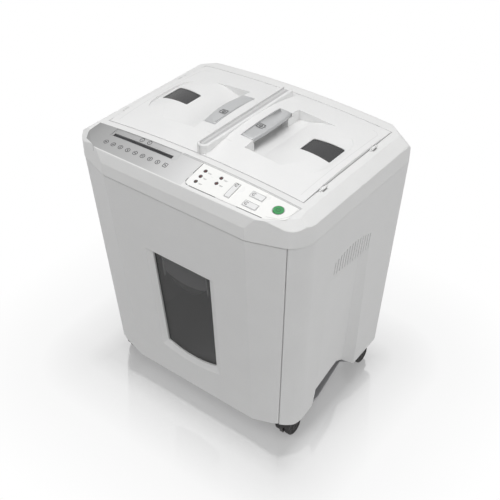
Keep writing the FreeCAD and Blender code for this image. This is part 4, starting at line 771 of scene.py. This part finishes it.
# ---- stage ----
FLOOR_HALF = 4.0
bm = bmesh.new()
bmesh.ops.create_grid(bm, x_segments=1, y_segments=1, size=FLOOR_HALF)
floor_mesh = bpy.data.meshes.new("floor")
bm.to_mesh(floor_mesh)
bm.free()
floor = bpy.data.objects.new("floor", floor_mesh)
bpy.context.scene.collection.objects.link(floor)
material, tree, out = new_material("pale_floor")
diffuse = node(tree, "ShaderNodeBsdfPrincipled", {"Base Color": grey(0.62), "Roughness": 0.6,
                                                  "Specular IOR Level": 0.2})
glossy = node(tree, "ShaderNodeBsdfGlossy", {"Color": grey(1.0), "Roughness": 0.06})
# distance from the rectangle that the cabinet stands over
FOOT_HALF_X, FOOT_HALF_Y = 0.185, 0.140
coords = node(tree, "ShaderNodeTexCoord")
place = node(tree, "ShaderNodeSeparateXYZ")
tree.links.new(coords.outputs["Object"], place.inputs[0])
beyond = []
for axis, half in (("X", FOOT_HALF_X), ("Y", FOOT_HALF_Y)):
    reach = math_node(tree, "SUBTRACT", math_node(tree, "ABSOLUTE", place.outputs[axis], 0.0), half)
    reach = math_node(tree, "MAXIMUM", reach, 0.0)
    beyond.append(math_node(tree, "POWER", reach, 2.0))
away = math_node(tree, "POWER", math_node(tree, "ADD", beyond[0], beyond[1]), 0.5)
near = ramp(tree, away, [(0.0, grey(0.34)), (0.15, grey(0.0))])
polish = node(tree, "ShaderNodeMixShader")
tree.links.new(near, polish.inputs[0])
tree.links.new(diffuse.outputs[0], polish.inputs[1])
tree.links.new(glossy.outputs[0], polish.inputs[2])
glow = node(tree, "ShaderNodeEmission", {"Color": grey(1.0), "Strength": 1.0})
path = node(tree, "ShaderNodeLightPath")
# painted shade: the white glow fades out towards the cabinet's footprint, so the floor close around it is
# painted darker, on top of the real shadow in its diffuse part
glow_beyond_painted_shade = ramp(tree, away, [(0.0, grey(0.28)), (0.04, grey(0.60)), (0.12, grey(0.88)), (0.28, grey(1.0))])
seen = math_node(tree, "MAXIMUM", path.outputs["Is Camera Ray"], path.outputs["Is Glossy Ray"])
seen = math_node(tree, "MAXIMUM", seen, path.outputs["Is Transmission Ray"])
floor_glow_share = math_node(tree, "MULTIPLY", seen, glow_beyond_painted_shade)
whole = node(tree, "ShaderNodeMixShader")
tree.links.new(floor_glow_share, whole.inputs[0])
tree.links.new(polish.outputs[0], whole.inputs[1])
tree.links.new(glow.outputs[0], whole.inputs[2])
tree.links.new(whole.outputs[0], out.inputs["Surface"])
floor_mesh.materials.append(material)

# ---- light ----
world = bpy.data.worlds.new("studio")
bpy.context.scene.world = world
world.use_nodes = True
tree = world.node_tree
tree.nodes.clear()
out = tree.nodes.new("ShaderNodeOutputWorld")
ambient = node(tree, "ShaderNodeBackground", {"Color": grey(1.0), "Strength": 0.30})
white = node(tree, "ShaderNodeBackground", {"Color": grey(1.0), "Strength": 1.0})
path = node(tree, "ShaderNodeLightPath")
seen = math_node(tree, "MAXIMUM", path.outputs["Is Camera Ray"], path.outputs["Is Glossy Ray"])
seen = math_node(tree, "MAXIMUM", seen, path.outputs["Is Transmission Ray"])
mixed = node(tree, "ShaderNodeMixShader")
tree.links.new(seen, mixed.inputs[0])
tree.links.new(ambient.outputs[0], mixed.inputs[1])
tree.links.new(white.outputs[0], mixed.inputs[2])
tree.links.new(mixed.outputs[0], out.inputs["Surface"])

LAMPS = (
    # name, place, size, power
    ("top_softbox", (0.15, 0.05, 1.9), 1.4, 12.0),
    ("front_softbox", (-0.2, -1.2, 1.8), 1.0, 11.0),
    ("side_softbox", (1.9, -0.2, 0.9), 1.2, 8.0),
)
for name, place, size, power in LAMPS:
    data = bpy.data.lights.new(name, "AREA")
    data.shape = "SQUARE"
    data.size = size
    data.energy = power
    lamp = bpy.data.objects.new(name, data)
    bpy.context.scene.collection.objects.link(lamp)
    lamp.location = place
    aim = Vector((0, 0, 0.25)) - Vector(place)
    lamp.rotation_mode = "QUATERNION"
    lamp.rotation_quaternion = aim.to_track_quat("-Z", "Y")
    lamp.visible_camera = False

# ---- camera ----
CAMERA_AZIMUTH = math.radians(37.41)
CAMERA_ELEVATION = math.radians(38.07)
CAMERA_DISTANCE = 1.44512
CAMERA_TARGET = Vector((0.0017, 0.0245, 0.2230))
camera_data = bpy.data.cameras.new("camera")
camera_data.sensor_width = 36.0
camera_data.lens = 63.69
camera_data.clip_start = 0.01
camera_data.clip_end = 50.0
camera = bpy.data.objects.new("camera", camera_data)
bpy.context.scene.collection.objects.link(camera)
back = Vector((math.sin(CAMERA_AZIMUTH) * math.cos(CAMERA_ELEVATION),
               -math.cos(CAMERA_AZIMUTH) * math.cos(CAMERA_ELEVATION), math.sin(CAMERA_ELEVATION)))
camera.location = CAMERA_TARGET + back * CAMERA_DISTANCE
camera.rotation_mode = "QUATERNION"
camera.rotation_quaternion = (-back).to_track_quat("-Z", "Y")
bpy.context.scene.camera = camera
bpy.context.scene.view_settings.view_transform = "Standard"
